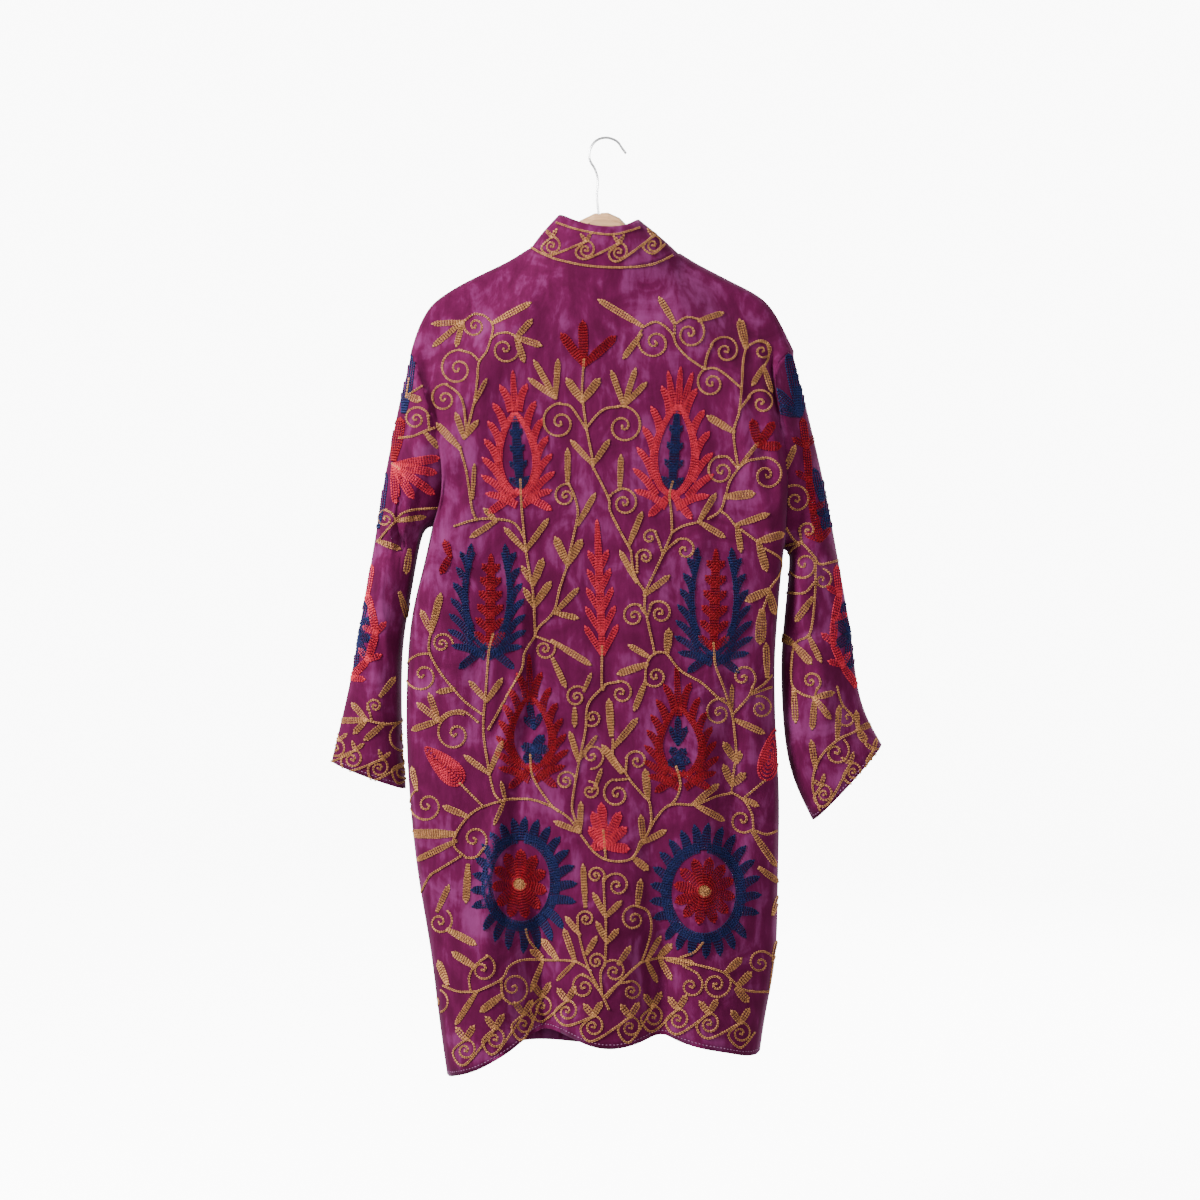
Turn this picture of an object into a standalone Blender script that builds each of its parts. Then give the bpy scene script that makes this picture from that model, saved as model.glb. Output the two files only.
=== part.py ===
"""A long velvet jacket with a stand collar, hung on a wooden hanger with a wire hook.

Metres, +Z up. The origin is the underside of the hook's top, where a rail or nail holds it.
+X is the wearer's left and +Y the back, so the fronts face -Y.
"""

import math
from typing import NamedTuple

import bpy
import numpy as np

# Cloth and seams
WALL = 0.002
SEAM_GAP = 0.0003

# Shoulder ridge, neck and armholes
RIDGE_RADIUS = 0.011
FALL_AT_NECK = 0.085
FALL_AT_TIP = 0.17
NECK_DEPTH = 0.045
NECK_DROP_BACK = 0.029
NECK_DROP_FRONT = 0.095
NECK_SHAPE_BACK = 2.4
NECK_SHAPE_FRONT = 2.0
NECK_STEPS_BACK = 10
NECK_STEPS_FRONT = 6
ARMHOLE_DEPTH = 0.045
ARMHOLE_FULLNESS = 0.85
CUT_REACH = 0.22
SIDE_FULLNESS = 2.6
ARM_FULLNESS = 6.0
FULLNESS_FALL = 0.22

# Rows of the panels, and points half round a sleeve
ARM_ROWS = 12
SKIRT_ROWS = 14

# How a fold fades at its ends, as shares of its length, and near a seam, in rows
FOLD_FADE_TOP = 0.35
FOLD_FADE_END = 0.25
FOLD_ROWS_PANEL = 3.0
FOLD_ROWS_SLEEVE = 2.0

# Stand collar
COLLAR_ROWS = 3
COLLAR_TOP_WIDTH = 0.55
COLLAR_TOP_SHIFT = 0.007
COLLAR_TOP_DEPTH = 0.8
COLLAR_SIDE_HEIGHT = 0.0384
COLLAR_BACK_RISE = 0.0131
COLLAR_FRONT_RISE = 0.008
COLLAR_BULGE = 0.002

# Wooden hanger
WOOD_GAP = 0.0003
WOOD_SHOULDER_Y = 0.0042
WOOD_SHOULDER_DROP = 0.0034
WOOD_HALF = 0.007
WOOD_SIDE_DROP = 0.009
WOOD_FOOT = 0.004
WOOD_END_HEIGHT = 0.020
WOOD_NECK_HEIGHT = 0.034
WOOD_TIP_SCALE = 0.55
WOOD_TIP_DROP = 0.0004
WOOD_TIP_REACH = 0.99
TIP_POINT = 5

# Wire hook, and the hole that its foot stands in
WIRE_RADIUS = 0.0015
HOOK_STEPS = 3
HOOK_SIDES = 2
HOLE_RADIUS = 0.0021
HOLE_DEPTH = 0.012
HOLE_FLOOR = 0.0003
HOLE_SIDES = 12

# Points nearer than this are one point of a seam
SAME_POINT = 1e-6

VELVET = (0.196, 0.026, 0.150)
VELVET_COLLAR = (0.178, 0.024, 0.132)
WOOD = (0.579, 0.283, 0.127)
STEEL = (0.72, 0.72, 0.74)


class Line(NamedTuple):
    """A point of the shoulder line, from the neck's side to the armhole's top."""

    x: float
    z: float


class Skirt(NamedTuple):
    """A section below the arms: both side seams, and how deep back and fronts stand."""

    z: float
    left: float
    right: float
    back: float
    front: float


class Depth(NamedTuple):
    """How deep back and fronts stand from the side seams, above the arms."""

    z: float
    back: float
    front: float


class Hem(NamedTuple):
    """The hem's height at a share of the width, from the wearer's left."""

    share: float
    z: float


class Bow(NamedTuple):
    """How far an armhole cuts into the body, at a share of its height from the top."""

    share: float
    left: float
    right: float


class Ring(NamedTuple):
    """A section of a sleeve: its outer and inner point, its half depth and its place in Y."""

    outer_x: float
    outer_z: float
    inner_x: float
    inner_z: float
    depth: float
    y: float
    bow: float


class Fold(NamedTuple):
    """A soft fold along a line. A positive rise stands out from the cloth."""

    top_x: float
    top_z: float
    end_x: float
    end_z: float
    width: float
    rise: float


class Wood(NamedTuple):
    """A section of the hanger between the neck's sides: its top and its height."""

    x: float
    top: float
    height: float


class Wire(NamedTuple):
    """A point of the hook's centre line."""

    x: float
    z: float


LEFT_SHOULDER = (
    Line(0.0907, -0.1308),
    Line(0.1111, -0.1450),
    Line(0.1363, -0.1570),
    Line(0.1615, -0.1690),
    Line(0.1819, -0.1800),
    Line(0.2035, -0.1944),
    Line(0.2131, -0.2062),
    Line(0.2203, -0.2196),
    Line(0.2268, -0.2355),
    Line(0.2323, -0.2544),
)
RIGHT_SHOULDER = (
    Line(-0.0905, -0.1368),
    Line(-0.1085, -0.1486),
    Line(-0.1325, -0.1608),
    Line(-0.1541, -0.1722),
    Line(-0.1790, -0.1840),
    Line(-0.1961, -0.1968),
    Line(-0.2069, -0.2128),
    Line(-0.2142, -0.2270),
    Line(-0.2210, -0.2410),
    Line(-0.2273, -0.2544),
)
LEFT_UNDERARM = Line(0.2071, -0.4656)
RIGHT_UNDERARM = Line(-0.2153, -0.4932)

DEPTHS = (
    Depth(-0.12, 0.044, 0.040),
    Depth(-0.25, 0.050, 0.050),
    Depth(-0.36, 0.053, 0.056),
    Depth(-0.47, 0.051, 0.052),
    Depth(-0.60, 0.050, 0.048),
    Depth(-0.80, 0.054, 0.050),
    Depth(-1.00, 0.060, 0.056),
    Depth(-1.12, 0.064, 0.060),
)
SKIRT = (
    Skirt(-0.4656, 0.2071, -0.2165, 0.051, 0.052),
    Skirt(-0.4932, 0.2128, -0.2153, 0.051, 0.052),
    Skirt(-0.5268, 0.2200, -0.2112, 0.050, 0.050),
    Skirt(-0.5700, 0.2320, -0.2080, 0.050, 0.049),
    Skirt(-0.6250, 0.2366, -0.2040, 0.050, 0.048),
    Skirt(-0.7008, 0.2383, -0.2050, 0.052, 0.049),
    Skirt(-0.7920, 0.2338, -0.2100, 0.054, 0.050),
    Skirt(-0.8844, 0.2239, -0.2083, 0.057, 0.053),
    Skirt(-0.9756, 0.2080, -0.2066, 0.060, 0.056),
    Skirt(-1.0452, 0.2000, -0.1935, 0.062, 0.058),
    Skirt(-1.1220, 0.1891, -0.1829, 0.064, 0.060),
)
BACK_HEM = (
    Hem(0.000, -1.1220),
    Hem(0.040, -1.1150),
    Hem(0.084, -1.1090),
    Hem(0.135, -1.0985),
    Hem(0.197, -1.0855),
    Hem(0.239, -1.0761),
    Hem(0.281, -1.0620),
    Hem(0.323, -1.0593),
    Hem(0.374, -1.0618),
    Hem(0.426, -1.0702),
    Hem(0.519, -1.0775),
    Hem(0.610, -1.0727),
    Hem(0.677, -1.0641),
    Hem(0.735, -1.0714),
    Hem(0.790, -1.0774),
    Hem(0.881, -1.0844),
    Hem(0.960, -1.0924),
    Hem(1.000, -1.0932),
)
FRONT_HEM = (
    Hem(0.00, -1.1220),
    Hem(0.12, -1.1060),
    Hem(0.24, -1.0920),
    Hem(0.36, -1.0960),
    Hem(0.50, -1.0980),
    Hem(0.64, -1.0900),
    Hem(0.78, -1.0860),
    Hem(0.90, -1.0920),
    Hem(1.00, -1.0932),
)
ARMHOLE_BOWS = (
    Bow(0.000, 0.0000, 0.0000),
    Bow(0.085, 0.0050, 0.0240),
    Bow(0.165, 0.0090, 0.0245),
    Bow(0.300, 0.0160, 0.0170),
    Bow(0.500, 0.0210, 0.0090),
    Bow(0.660, 0.0230, 0.0030),
    Bow(0.800, 0.0190, 0.0020),
    Bow(0.920, 0.0100, 0.0010),
    Bow(1.000, 0.0000, 0.0000),
)
LEFT_SLEEVE = (
    Ring(0.2323, -0.2544, 0.2071, -0.4656, 0.045, 0.000, 1.00),
    Ring(0.2362, -0.2784, 0.2135, -0.4680, 0.045, 0.000, 0.80),
    Ring(0.2443, -0.3050, 0.2195, -0.4752, 0.045, -0.001, 0.50),
    Ring(0.2539, -0.3540, 0.2240, -0.4950, 0.044, -0.003, 0.25),
    Ring(0.2647, -0.4056, 0.2290, -0.5240, 0.043, -0.006, 0.10),
    Ring(0.2731, -0.4600, 0.2350, -0.5580, 0.040, -0.010, 0.00),
    Ring(0.2800, -0.5000, 0.2410, -0.5900, 0.043, -0.012, 0.00),
    Ring(0.2875, -0.5430, 0.2440, -0.6200, 0.042, -0.014, 0.00),
    Ring(0.2965, -0.5880, 0.2450, -0.6480, 0.041, -0.016, 0.00),
    Ring(0.3040, -0.6350, 0.2450, -0.6800, 0.040, -0.018, 0.00),
    Ring(0.3140, -0.6800, 0.2445, -0.7130, 0.039, -0.020, 0.00),
    Ring(0.3230, -0.7160, 0.2430, -0.7470, 0.038, -0.021, 0.00),
    Ring(0.3307, -0.7476, 0.2400, -0.7812, 0.037, -0.022, 0.00),
)
RIGHT_SLEEVE = (
    Ring(-0.2273, -0.2544, -0.2153, -0.4932, 0.045, 0.000, 1.00),
    Ring(-0.2309, -0.2736, -0.2200, -0.4962, 0.045, 0.000, 0.80),
    Ring(-0.2381, -0.3000, -0.2225, -0.5040, 0.045, 0.000, 0.55),
    Ring(-0.2490, -0.3468, -0.2225, -0.5150, 0.044, -0.001, 0.30),
    Ring(-0.2607, -0.3970, -0.2205, -0.5340, 0.043, -0.003, 0.12),
    Ring(-0.2703, -0.4452, -0.2175, -0.5620, 0.042, -0.005, 0.00),
    Ring(-0.2800, -0.4980, -0.2140, -0.5970, 0.041, -0.007, 0.00),
    Ring(-0.2897, -0.5508, -0.2120, -0.6300, 0.041, -0.008, 0.00),
    Ring(-0.2985, -0.6010, -0.2130, -0.6720, 0.040, -0.009, 0.00),
    Ring(-0.3030, -0.6500, -0.2160, -0.7200, 0.038, -0.010, 0.00),
    Ring(-0.3130, -0.6900, -0.2245, -0.7680, 0.036, -0.010, 0.00),
    Ring(-0.3341, -0.7260, -0.2500, -0.8184, 0.034, -0.010, 0.00),
)
BACK_FOLDS = (
    Fold(0.100, -0.200, 0.174, -0.490, 0.016, -0.006),
    Fold(0.140, -0.230, 0.200, -0.420, 0.020, 0.005),
    Fold(0.096, -0.520, 0.142, -0.980, 0.022, -0.009),
    Fold(0.135, -0.560, 0.175, -1.000, 0.026, 0.006),
    Fold(0.085, -0.820, 0.066, -1.200, 0.024, -0.026),
    Fold(0.150, -0.860, 0.150, -1.240, 0.034, 0.014),
    Fold(0.005, -0.780, 0.002, -1.240, 0.038, 0.012),
    Fold(-0.062, -0.880, -0.064, -1.200, 0.020, -0.018),
    Fold(-0.130, -0.840, -0.135, -1.240, 0.034, 0.009),
    Fold(-0.118, -0.260, -0.112, -0.470, 0.015, -0.004),
    Fold(-0.160, -0.230, -0.190, -0.440, 0.018, 0.004),
    Fold(-0.020, -0.300, -0.050, -0.640, 0.030, 0.004),
)
FRONT_FOLDS = (
    Fold(0.150, -0.190, 0.120, -0.560, 0.020, -0.007),
    Fold(0.110, -0.400, 0.135, -1.220, 0.024, -0.012),
    Fold(0.055, -0.520, 0.060, -1.220, 0.026, 0.012),
    Fold(0.170, -0.600, 0.165, -1.220, 0.022, 0.009),
    Fold(-0.150, -0.190, -0.125, -0.540, 0.020, -0.006),
    Fold(-0.105, -0.380, -0.120, -1.220, 0.024, -0.013),
    Fold(-0.055, -0.560, -0.060, -1.220, 0.024, 0.011),
    Fold(-0.160, -0.620, -0.150, -1.220, 0.022, 0.010),
)
SLEEVE_FOLDS = (
    Fold(0.290, -0.478, 0.205, -0.462, 0.012, -0.010),
    Fold(0.275, -0.420, 0.215, -0.425, 0.016, 0.005),
    Fold(0.276, -0.545, 0.246, -0.650, 0.012, -0.005),
    Fold(-0.232, -0.330, -0.236, -0.520, 0.012, -0.006),
    Fold(-0.262, -0.520, -0.232, -0.640, 0.014, -0.006),
    Fold(-0.246, -0.600, -0.262, -0.760, 0.016, 0.005),
)
HUMP = (
    Wood(0.078, -0.1350, 0.034),
    Wood(0.062, -0.1240, 0.035),
    Wood(0.046, -0.1110, 0.038),
    Wood(0.030, -0.0980, 0.044),
    Wood(0.012, -0.0892, 0.048),
    Wood(-0.004, -0.0882, 0.048),
    Wood(-0.018, -0.0945, 0.044),
    Wood(-0.031, -0.1075, 0.038),
    Wood(-0.048, -0.1255, 0.034),
    Wood(-0.074, -0.1400, 0.033),
)
HOOK = (
    Wire(0.0067, -0.0935),
    Wire(0.0091, -0.0648),
    Wire(0.0079, -0.0492),
    Wire(0.0115, -0.0360),
    Wire(0.0172, -0.0262),
    Wire(0.0181, -0.0168),
    Wire(0.0160, -0.0095),
    Wire(0.0098, -0.0018),
    Wire(0.0000, 0.0015),
    Wire(-0.0089, 0.0002),
    Wire(-0.0161, -0.0040),
    Wire(-0.0209, -0.0108),
    Wire(-0.0257, -0.0174),
)


def slopes(keys, values):
    """The slopes of a curve through the rows that never overshoots between them."""
    steps = np.diff(keys)
    rates = np.diff(values) / steps
    out = np.zeros(len(keys))
    out[0] = rates[0]
    out[-1] = rates[-1]
    for i in range(1, len(keys) - 1):
        if rates[i - 1] * rates[i] > 0.0:
            out[i] = 2.0 * rates[i - 1] * rates[i] / (rates[i - 1] + rates[i])
    return out


def column(rows, key, value, at):
    """One named column of a table, read smoothly at any key."""
    keys = np.array([getattr(row, key) for row in rows])
    values = np.array([getattr(row, value) for row in rows])
    if keys[0] > keys[-1]:
        keys = keys[::-1]
        values = values[::-1]
    at = min(max(at, keys[0]), keys[-1])
    i = min(int(np.searchsorted(keys, at, side="right")) - 1, len(keys) - 2)
    span = keys[i + 1] - keys[i]
    t = (at - keys[i]) / span
    slope = slopes(keys, values)
    rise = (2.0 * t**3 - 3.0 * t**2 + 1.0) * values[i] + (3.0 * t**2 - 2.0 * t**3) * values[i + 1]
    lean = (t**3 - 2.0 * t**2 + t) * slope[i] + (t**3 - t**2) * slope[i + 1]
    return float(rise + span * lean)


def ease(t):
    """A smooth step from 0 to 1."""
    t = min(max(t, 0.0), 1.0)
    return t * t * (3.0 - 2.0 * t)


def folded(folds, x, z):
    """How far the folds move the cloth out at a place seen flat."""
    out = 0.0
    for fold in folds:
        run_x = fold.end_x - fold.top_x
        run_z = fold.end_z - fold.top_z
        length = math.hypot(run_x, run_z)
        along = ((x - fold.top_x) * run_x + (z - fold.top_z) * run_z) / length
        aside = ((x - fold.top_x) * run_z - (z - fold.top_z) * run_x) / length
        share = along / length
        fade = ease(share / FOLD_FADE_TOP) * ease((1.0 - share) / FOLD_FADE_END)
        out += fold.rise * fade * math.exp(-((aside / fold.width) ** 2))
    return out


def armhole_cut(side, turn):
    """How far the armhole cuts in from a straight line between shoulder and underarm."""
    share = (1.0 - math.cos(turn)) / 2.0
    return column(ARMHOLE_BOWS, "share", "left" if side > 0 else "right", share)


def armhole(side, turn, cut=1.0):
    """A point of the armhole. A turn of 0 is the shoulder, pi the underarm, 2 pi the shoulder."""
    top = LEFT_SHOULDER[-1] if side > 0 else RIGHT_SHOULDER[-1]
    under = LEFT_UNDERARM if side > 0 else RIGHT_UNDERARM
    share = (1.0 - math.cos(turn)) / 2.0
    x = top.x + (under.x - top.x) * share - side * cut * armhole_cut(side, turn)
    z = top.z + (under.z - top.z) * share
    wave = math.sin(turn)
    y = ARMHOLE_DEPTH * math.copysign(abs(wave) ** ARMHOLE_FULLNESS, wave)
    if abs(wave) < SAME_POINT:
        y = 0.0
    return np.array((x, y, z))


def sleeve_surface(side, rings):
    """The outside of a sleeve: a row for each ring and a column for each turn."""
    turns = [math.pi * i / ARM_ROWS for i in range(2 * ARM_ROWS)]
    out = np.zeros((len(rings), len(turns), 3))
    for i, ring in enumerate(rings):
        for j, turn in enumerate(turns):
            if i == 0:
                out[i, j] = armhole(side, turn)
                continue
            share = (1.0 - math.cos(turn)) / 2.0
            wave = math.sin(turn)
            bow = ring.bow * armhole_cut(side, turn)
            x = ring.outer_x + (ring.inner_x - ring.outer_x) * share - side * bow
            z = ring.outer_z + (ring.inner_z - ring.outer_z) * share
            round_y = math.copysign(abs(wave) ** ARMHOLE_FULLNESS, wave)
            y = ring.y + ring.depth * round_y
            y += wave * folded(SLEEVE_FOLDS, x, z) * ease(i / FOLD_ROWS_SLEEVE)
            out[i, j] = (x, y, z)
    return out


def back_top():
    """The back's top edge from the wearer's left: shoulder, neck, shoulder."""
    points = [(row.x, 0.0, row.z) for row in reversed(LEFT_SHOULDER)]
    left = LEFT_SHOULDER[0]
    right = RIGHT_SHOULDER[0]
    for i in range(1, NECK_STEPS_BACK):
        turn = math.pi * i / NECK_STEPS_BACK
        share = (1.0 - math.cos(turn)) / 2.0
        x = left.x + (right.x - left.x) * share
        off = abs(math.cos(turn))
        y = NECK_DEPTH * math.sin(turn)
        z = left.z + (right.z - left.z) * share - NECK_DROP_BACK * (1.0 - off**NECK_SHAPE_BACK)
        points.append((x, y, z))
    points += [(row.x, 0.0, row.z) for row in RIGHT_SHOULDER]
    return points


def front_top(side):
    """A front's top edge from the armhole to the centre."""
    line = LEFT_SHOULDER if side > 0 else RIGHT_SHOULDER
    points = [(row.x, 0.0, row.z) for row in reversed(line)]
    neck = line[0]
    for i in range(1, NECK_STEPS_FRONT + 1):
        turn = math.pi / 2.0 * i / NECK_STEPS_FRONT
        level = (LEFT_SHOULDER[0].z + RIGHT_SHOULDER[0].z) / 2.0
        start = neck.z + (level - neck.z) * math.sin(turn)
        x = neck.x * math.cos(turn) if i < NECK_STEPS_FRONT else 0.0
        z = start - NECK_DROP_FRONT * math.sin(turn) ** NECK_SHAPE_FRONT
        points.append((x, -NECK_DEPTH * math.sin(turn), z))
    return points


def round_over(fall, edge_y):
    """How deep the cloth stands just below the top edge, at a fall from it."""
    turn = min(fall / RIDGE_RADIUS, 1.0)
    ridge = RIDGE_RADIUS * math.sqrt(max(0.0, 1.0 - (1.0 - turn) ** 2))
    share = min(abs(edge_y) / NECK_DEPTH, 1.0)
    return math.sqrt(edge_y**2 + (1.0 - share**2) * ridge**2)


def across_front(left, right, share):
    """A place across the fronts, whose centre edges hang straight down."""
    if share <= 0.5:
        return left * (1.0 - 2.0 * share)
    return right * (2.0 * share - 1.0)


def panel_surface(top, hem, folds, way, depth_name, shares):
    """The outside of the back or of a front, shoulder to hem.

    The side edges are armholes, then side seams. A front's last column is the centre edge.
    """
    rows = ARM_ROWS + SKIRT_ROWS
    out = np.zeros((rows + 1, len(top), 3))
    for j, (top_x, top_y, top_z) in enumerate(top):
        share = shares[j]
        under_z = LEFT_UNDERARM.z + (RIGHT_UNDERARM.z - LEFT_UNDERARM.z) * share
        hem_z = column(hem, "share", "z", share)
        neck_x = LEFT_SHOULDER[0].x
        beyond = ease((abs(top_x) - neck_x) / (LEFT_SHOULDER[TIP_POINT].x - neck_x))
        reach = FALL_AT_NECK + (FALL_AT_TIP - FALL_AT_NECK) * beyond
        for i in range(rows + 1):
            if i <= ARM_ROWS:
                turn = math.pi * i / ARM_ROWS
                down = (1.0 - math.cos(turn)) / 2.0
                left = armhole(1, turn, 0.0)
                right = armhole(-1, turn, 0.0)
                cut = armhole_cut(-1, turn) * max(0.0, 1.0 - (1.0 - share) / CUT_REACH) ** 2
                cut -= armhole_cut(1, turn) * max(0.0, 1.0 - share / CUT_REACH) ** 2
                z = top_z + (under_z - top_z) * down
                edge = left[1] if i not in (0, ARM_ROWS) else 0.0
            else:
                down = (i - ARM_ROWS) / SKIRT_ROWS
                z = under_z + (hem_z - under_z) * down
                cut = 0.0
                left_z = LEFT_UNDERARM.z + (hem[0].z - LEFT_UNDERARM.z) * down
                right_z = RIGHT_UNDERARM.z + (hem[-1].z - RIGHT_UNDERARM.z) * down
                left = (column(SKIRT, "z", "left", left_z), 0.0)
                right = (column(SKIRT, "z", "right", right_z), 0.0)
                edge = 0.0
            x = left[0] + (right[0] - left[0]) * share
            if way < 0:
                x = across_front(left[0], right[0], share)
            x += cut
            if i == 0:
                x = top_x
            relaxed = ease((under_z - z) / FULLNESS_FALL)
            full = ARM_FULLNESS + (SIDE_FULLNESS - ARM_FULLNESS) * relaxed
            side = max(1.0 - abs(2.0 * share - 1.0) ** full, 0.0) ** (1.0 / full)
            deep = column(DEPTHS, "z", depth_name, z)
            start = round_over(top_z - z, top_y)
            settle = start + (deep - start) * ease((top_z - z) / reach)
            y = edge + (settle - edge) * side
            if i > 0:
                y += folded(folds, x, z) * side * ease(i / FOLD_ROWS_PANEL)
            out[i, j] = (x, way * y, z)
    return out


def share_of_width(x):
    """A place on the top edge as a share of the width, from the wearer's left."""
    left = LEFT_SHOULDER[-1].x
    right = RIGHT_SHOULDER[-1].x
    return (left - x) / (left - right)


def collar_surface(back, left, right):
    """The outside of the collar, its base on the neck edges of the three panels."""
    neck_left = left[0][len(LEFT_SHOULDER) - 1 :][::-1]
    neck_back = back[0][len(LEFT_SHOULDER) - 1 : len(LEFT_SHOULDER) + NECK_STEPS_BACK]
    neck_right = right[0][len(RIGHT_SHOULDER) - 1 :]
    base = np.concatenate((neck_left[:-1], neck_back, neck_right[1:]))
    out = np.zeros((COLLAR_ROWS + 1, len(base), 3))
    for j, (x, y, z) in enumerate(base):
        share = min(abs(y) / NECK_DEPTH, 1.0)
        rise = COLLAR_BACK_RISE if y > 0 else COLLAR_FRONT_RISE
        top = np.array(
            (
                x * COLLAR_TOP_WIDTH + COLLAR_TOP_SHIFT * (1.0 - share**2),
                y * COLLAR_TOP_DEPTH,
                z + COLLAR_SIDE_HEIGHT + rise * share,
            )
        )
        foot = np.array((x, y, z))
        away = np.array((x, y, 0.0)) / max(math.hypot(x, y), SAME_POINT)
        for i in range(COLLAR_ROWS + 1):
            t = i / COLLAR_ROWS
            out[i, j] = foot + (top - foot) * t + away * COLLAR_BULGE * math.sin(math.pi * t)
    return out


def grid_normals(points, wraps):
    """Unit normals of a grid, by the neighbours along and across."""
    across = np.gradient(points, axis=0)
    if wraps:
        along = (np.roll(points, -1, axis=1) - np.roll(points, 1, axis=1)) / 2.0
    else:
        along = np.gradient(points, axis=1)
    normal = np.cross(across, along)
    return normal / np.linalg.norm(normal, axis=2, keepdims=True)


def rim_of(shape, wraps):
    """Row and column of each point on the edges of a grid."""
    rows, columns = shape[:2]
    ends = [(i, j) for i in (0, rows - 1) for j in range(columns)]
    if wraps:
        return ends
    return ends + [(i, j) for i in range(1, rows - 1) for j in (0, columns - 1)]


def key_of(point):
    """A point rounded, so that panels sewn together there share it."""
    return tuple(int(round(value / SAME_POINT)) for value in point)


def share_normals(pieces):
    """Gives the points that pieces share on a seam one common normal."""
    sums = {}
    for piece in pieces:
        for i, j in rim_of(piece["outer"].shape, piece["wraps"]):
            key = key_of(piece["outer"][i, j])
            sums[key] = sums.get(key, 0.0) + piece["normal"][i, j]
    for piece in pieces:
        for i, j in rim_of(piece["outer"].shape, piece["wraps"]):
            total = sums[key_of(piece["outer"][i, j])]
            piece["normal"][i, j] = total / np.linalg.norm(total)


def drawn_back(piece):
    """How far each edge point moves from its seam, so that half the gap lies on either side."""
    outer = piece["outer"]
    normal = piece["normal"]
    move = np.zeros_like(outer)

    def pull(edge, inside):
        line = outer[edge]
        if piece["wraps"]:
            run = np.roll(line, -1, axis=0) - np.roll(line, 1, axis=0)
        else:
            run = np.gradient(line, axis=0)
        way = np.cross(run, normal[edge])
        way = way / np.linalg.norm(way, axis=-1, keepdims=True)
        inward = np.sum(way * (outer[inside] - line), axis=-1, keepdims=True)
        move[edge] += way * np.sign(inward) * SEAM_GAP / 2.0

    rows, columns = outer.shape[:2]
    stops = [0, *piece["neck"], columns - 1]
    for start, stop in zip(stops[:-1], stops[1:]):
        run_of = slice(start, stop + 1)
        pull((0, run_of), (1, run_of))
    pull((-1, slice(None)), (-2, slice(None)))
    if piece["wraps"]:
        return move
    stops = [0, *piece["arm"], rows - 1]
    for start, stop in zip(stops[:-1], stops[1:]):
        run_of = slice(start, stop + 1)
        pull((run_of, 0), (run_of, 1))
        pull((run_of, -1), (run_of, -2))
    return move


def cloth_solid(piece, collection, surface):
    """A closed solid of one wall's thickness below a piece's outside."""
    outer = piece["outer"] + piece["move"]
    inner = outer - piece["normal"] * WALL
    rows, columns = outer.shape[:2]
    points = np.concatenate((outer.reshape(-1, 3), inner.reshape(-1, 3)))
    below = rows * columns
    last = columns if piece["wraps"] else columns - 1
    faces = []

    def at(i, j):
        return i * columns + j % columns

    for i in range(rows - 1):
        for j in range(last):
            quad = (at(i, j), at(i + 1, j), at(i + 1, j + 1), at(i, j + 1))
            faces.append(quad)
            faces.append(tuple(below + v for v in reversed(quad)))
    flat = piece["outer"].reshape(-1, 3)

    def rim(a, b):
        if key_of(flat[a]) < key_of(flat[b]):
            faces.append((a, b, below + b))
            faces.append((a, below + b, below + a))
        else:
            faces.append((a, b, below + a))
            faces.append((b, below + b, below + a))

    for j in range(last):
        rim(at(0, j), at(0, j + 1))
        rim(at(rows - 1, j + 1), at(rows - 1, j))
    if not piece["wraps"]:
        for i in range(rows - 1):
            rim(at(i + 1, 0), at(i, 0))
            rim(at(i, columns - 1), at(i + 1, columns - 1))
    return mesh_object(piece["name"], points, faces, collection, surface)


def mesh_object(name, points, faces, collection, surface):
    """A named mesh object in the collection, with its material."""
    mesh = bpy.data.meshes.new(name)
    mesh.from_pydata([tuple(map(float, point)) for point in points], [], faces)
    mesh.validate()
    mesh.materials.append(surface)
    thing = bpy.data.objects.new(name, mesh)
    collection.objects.link(thing)
    return thing


def paint(name, colour, roughness, metallic):
    """A plain surface."""
    surface = bpy.data.materials.new(name)
    surface.use_nodes = True
    shader = surface.node_tree.nodes["Principled BSDF"]
    shader.inputs["Base Color"].default_value = (*colour, 1.0)
    shader.inputs["Roughness"].default_value = roughness
    shader.inputs["Metallic"].default_value = metallic
    return surface


def wood_section(x, top, height, scale):
    """A section of the hanger, widest below its shoulder and round at its foot."""
    drop = WOOD_SIDE_DROP * scale
    half = WOOD_HALF * scale
    right = (
        (WOOD_SHOULDER_Y * scale, WOOD_SHOULDER_DROP * scale),
        (half, drop),
        (half, height - drop),
        (WOOD_FOOT * scale, height - WOOD_SHOULDER_DROP * scale),
    )
    ring = [(0.0, 0.0), *right, (0.0, height)] + [(-y, down) for y, down in reversed(right)]
    return [(x, y, top - down) for y, down in ring]


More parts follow.
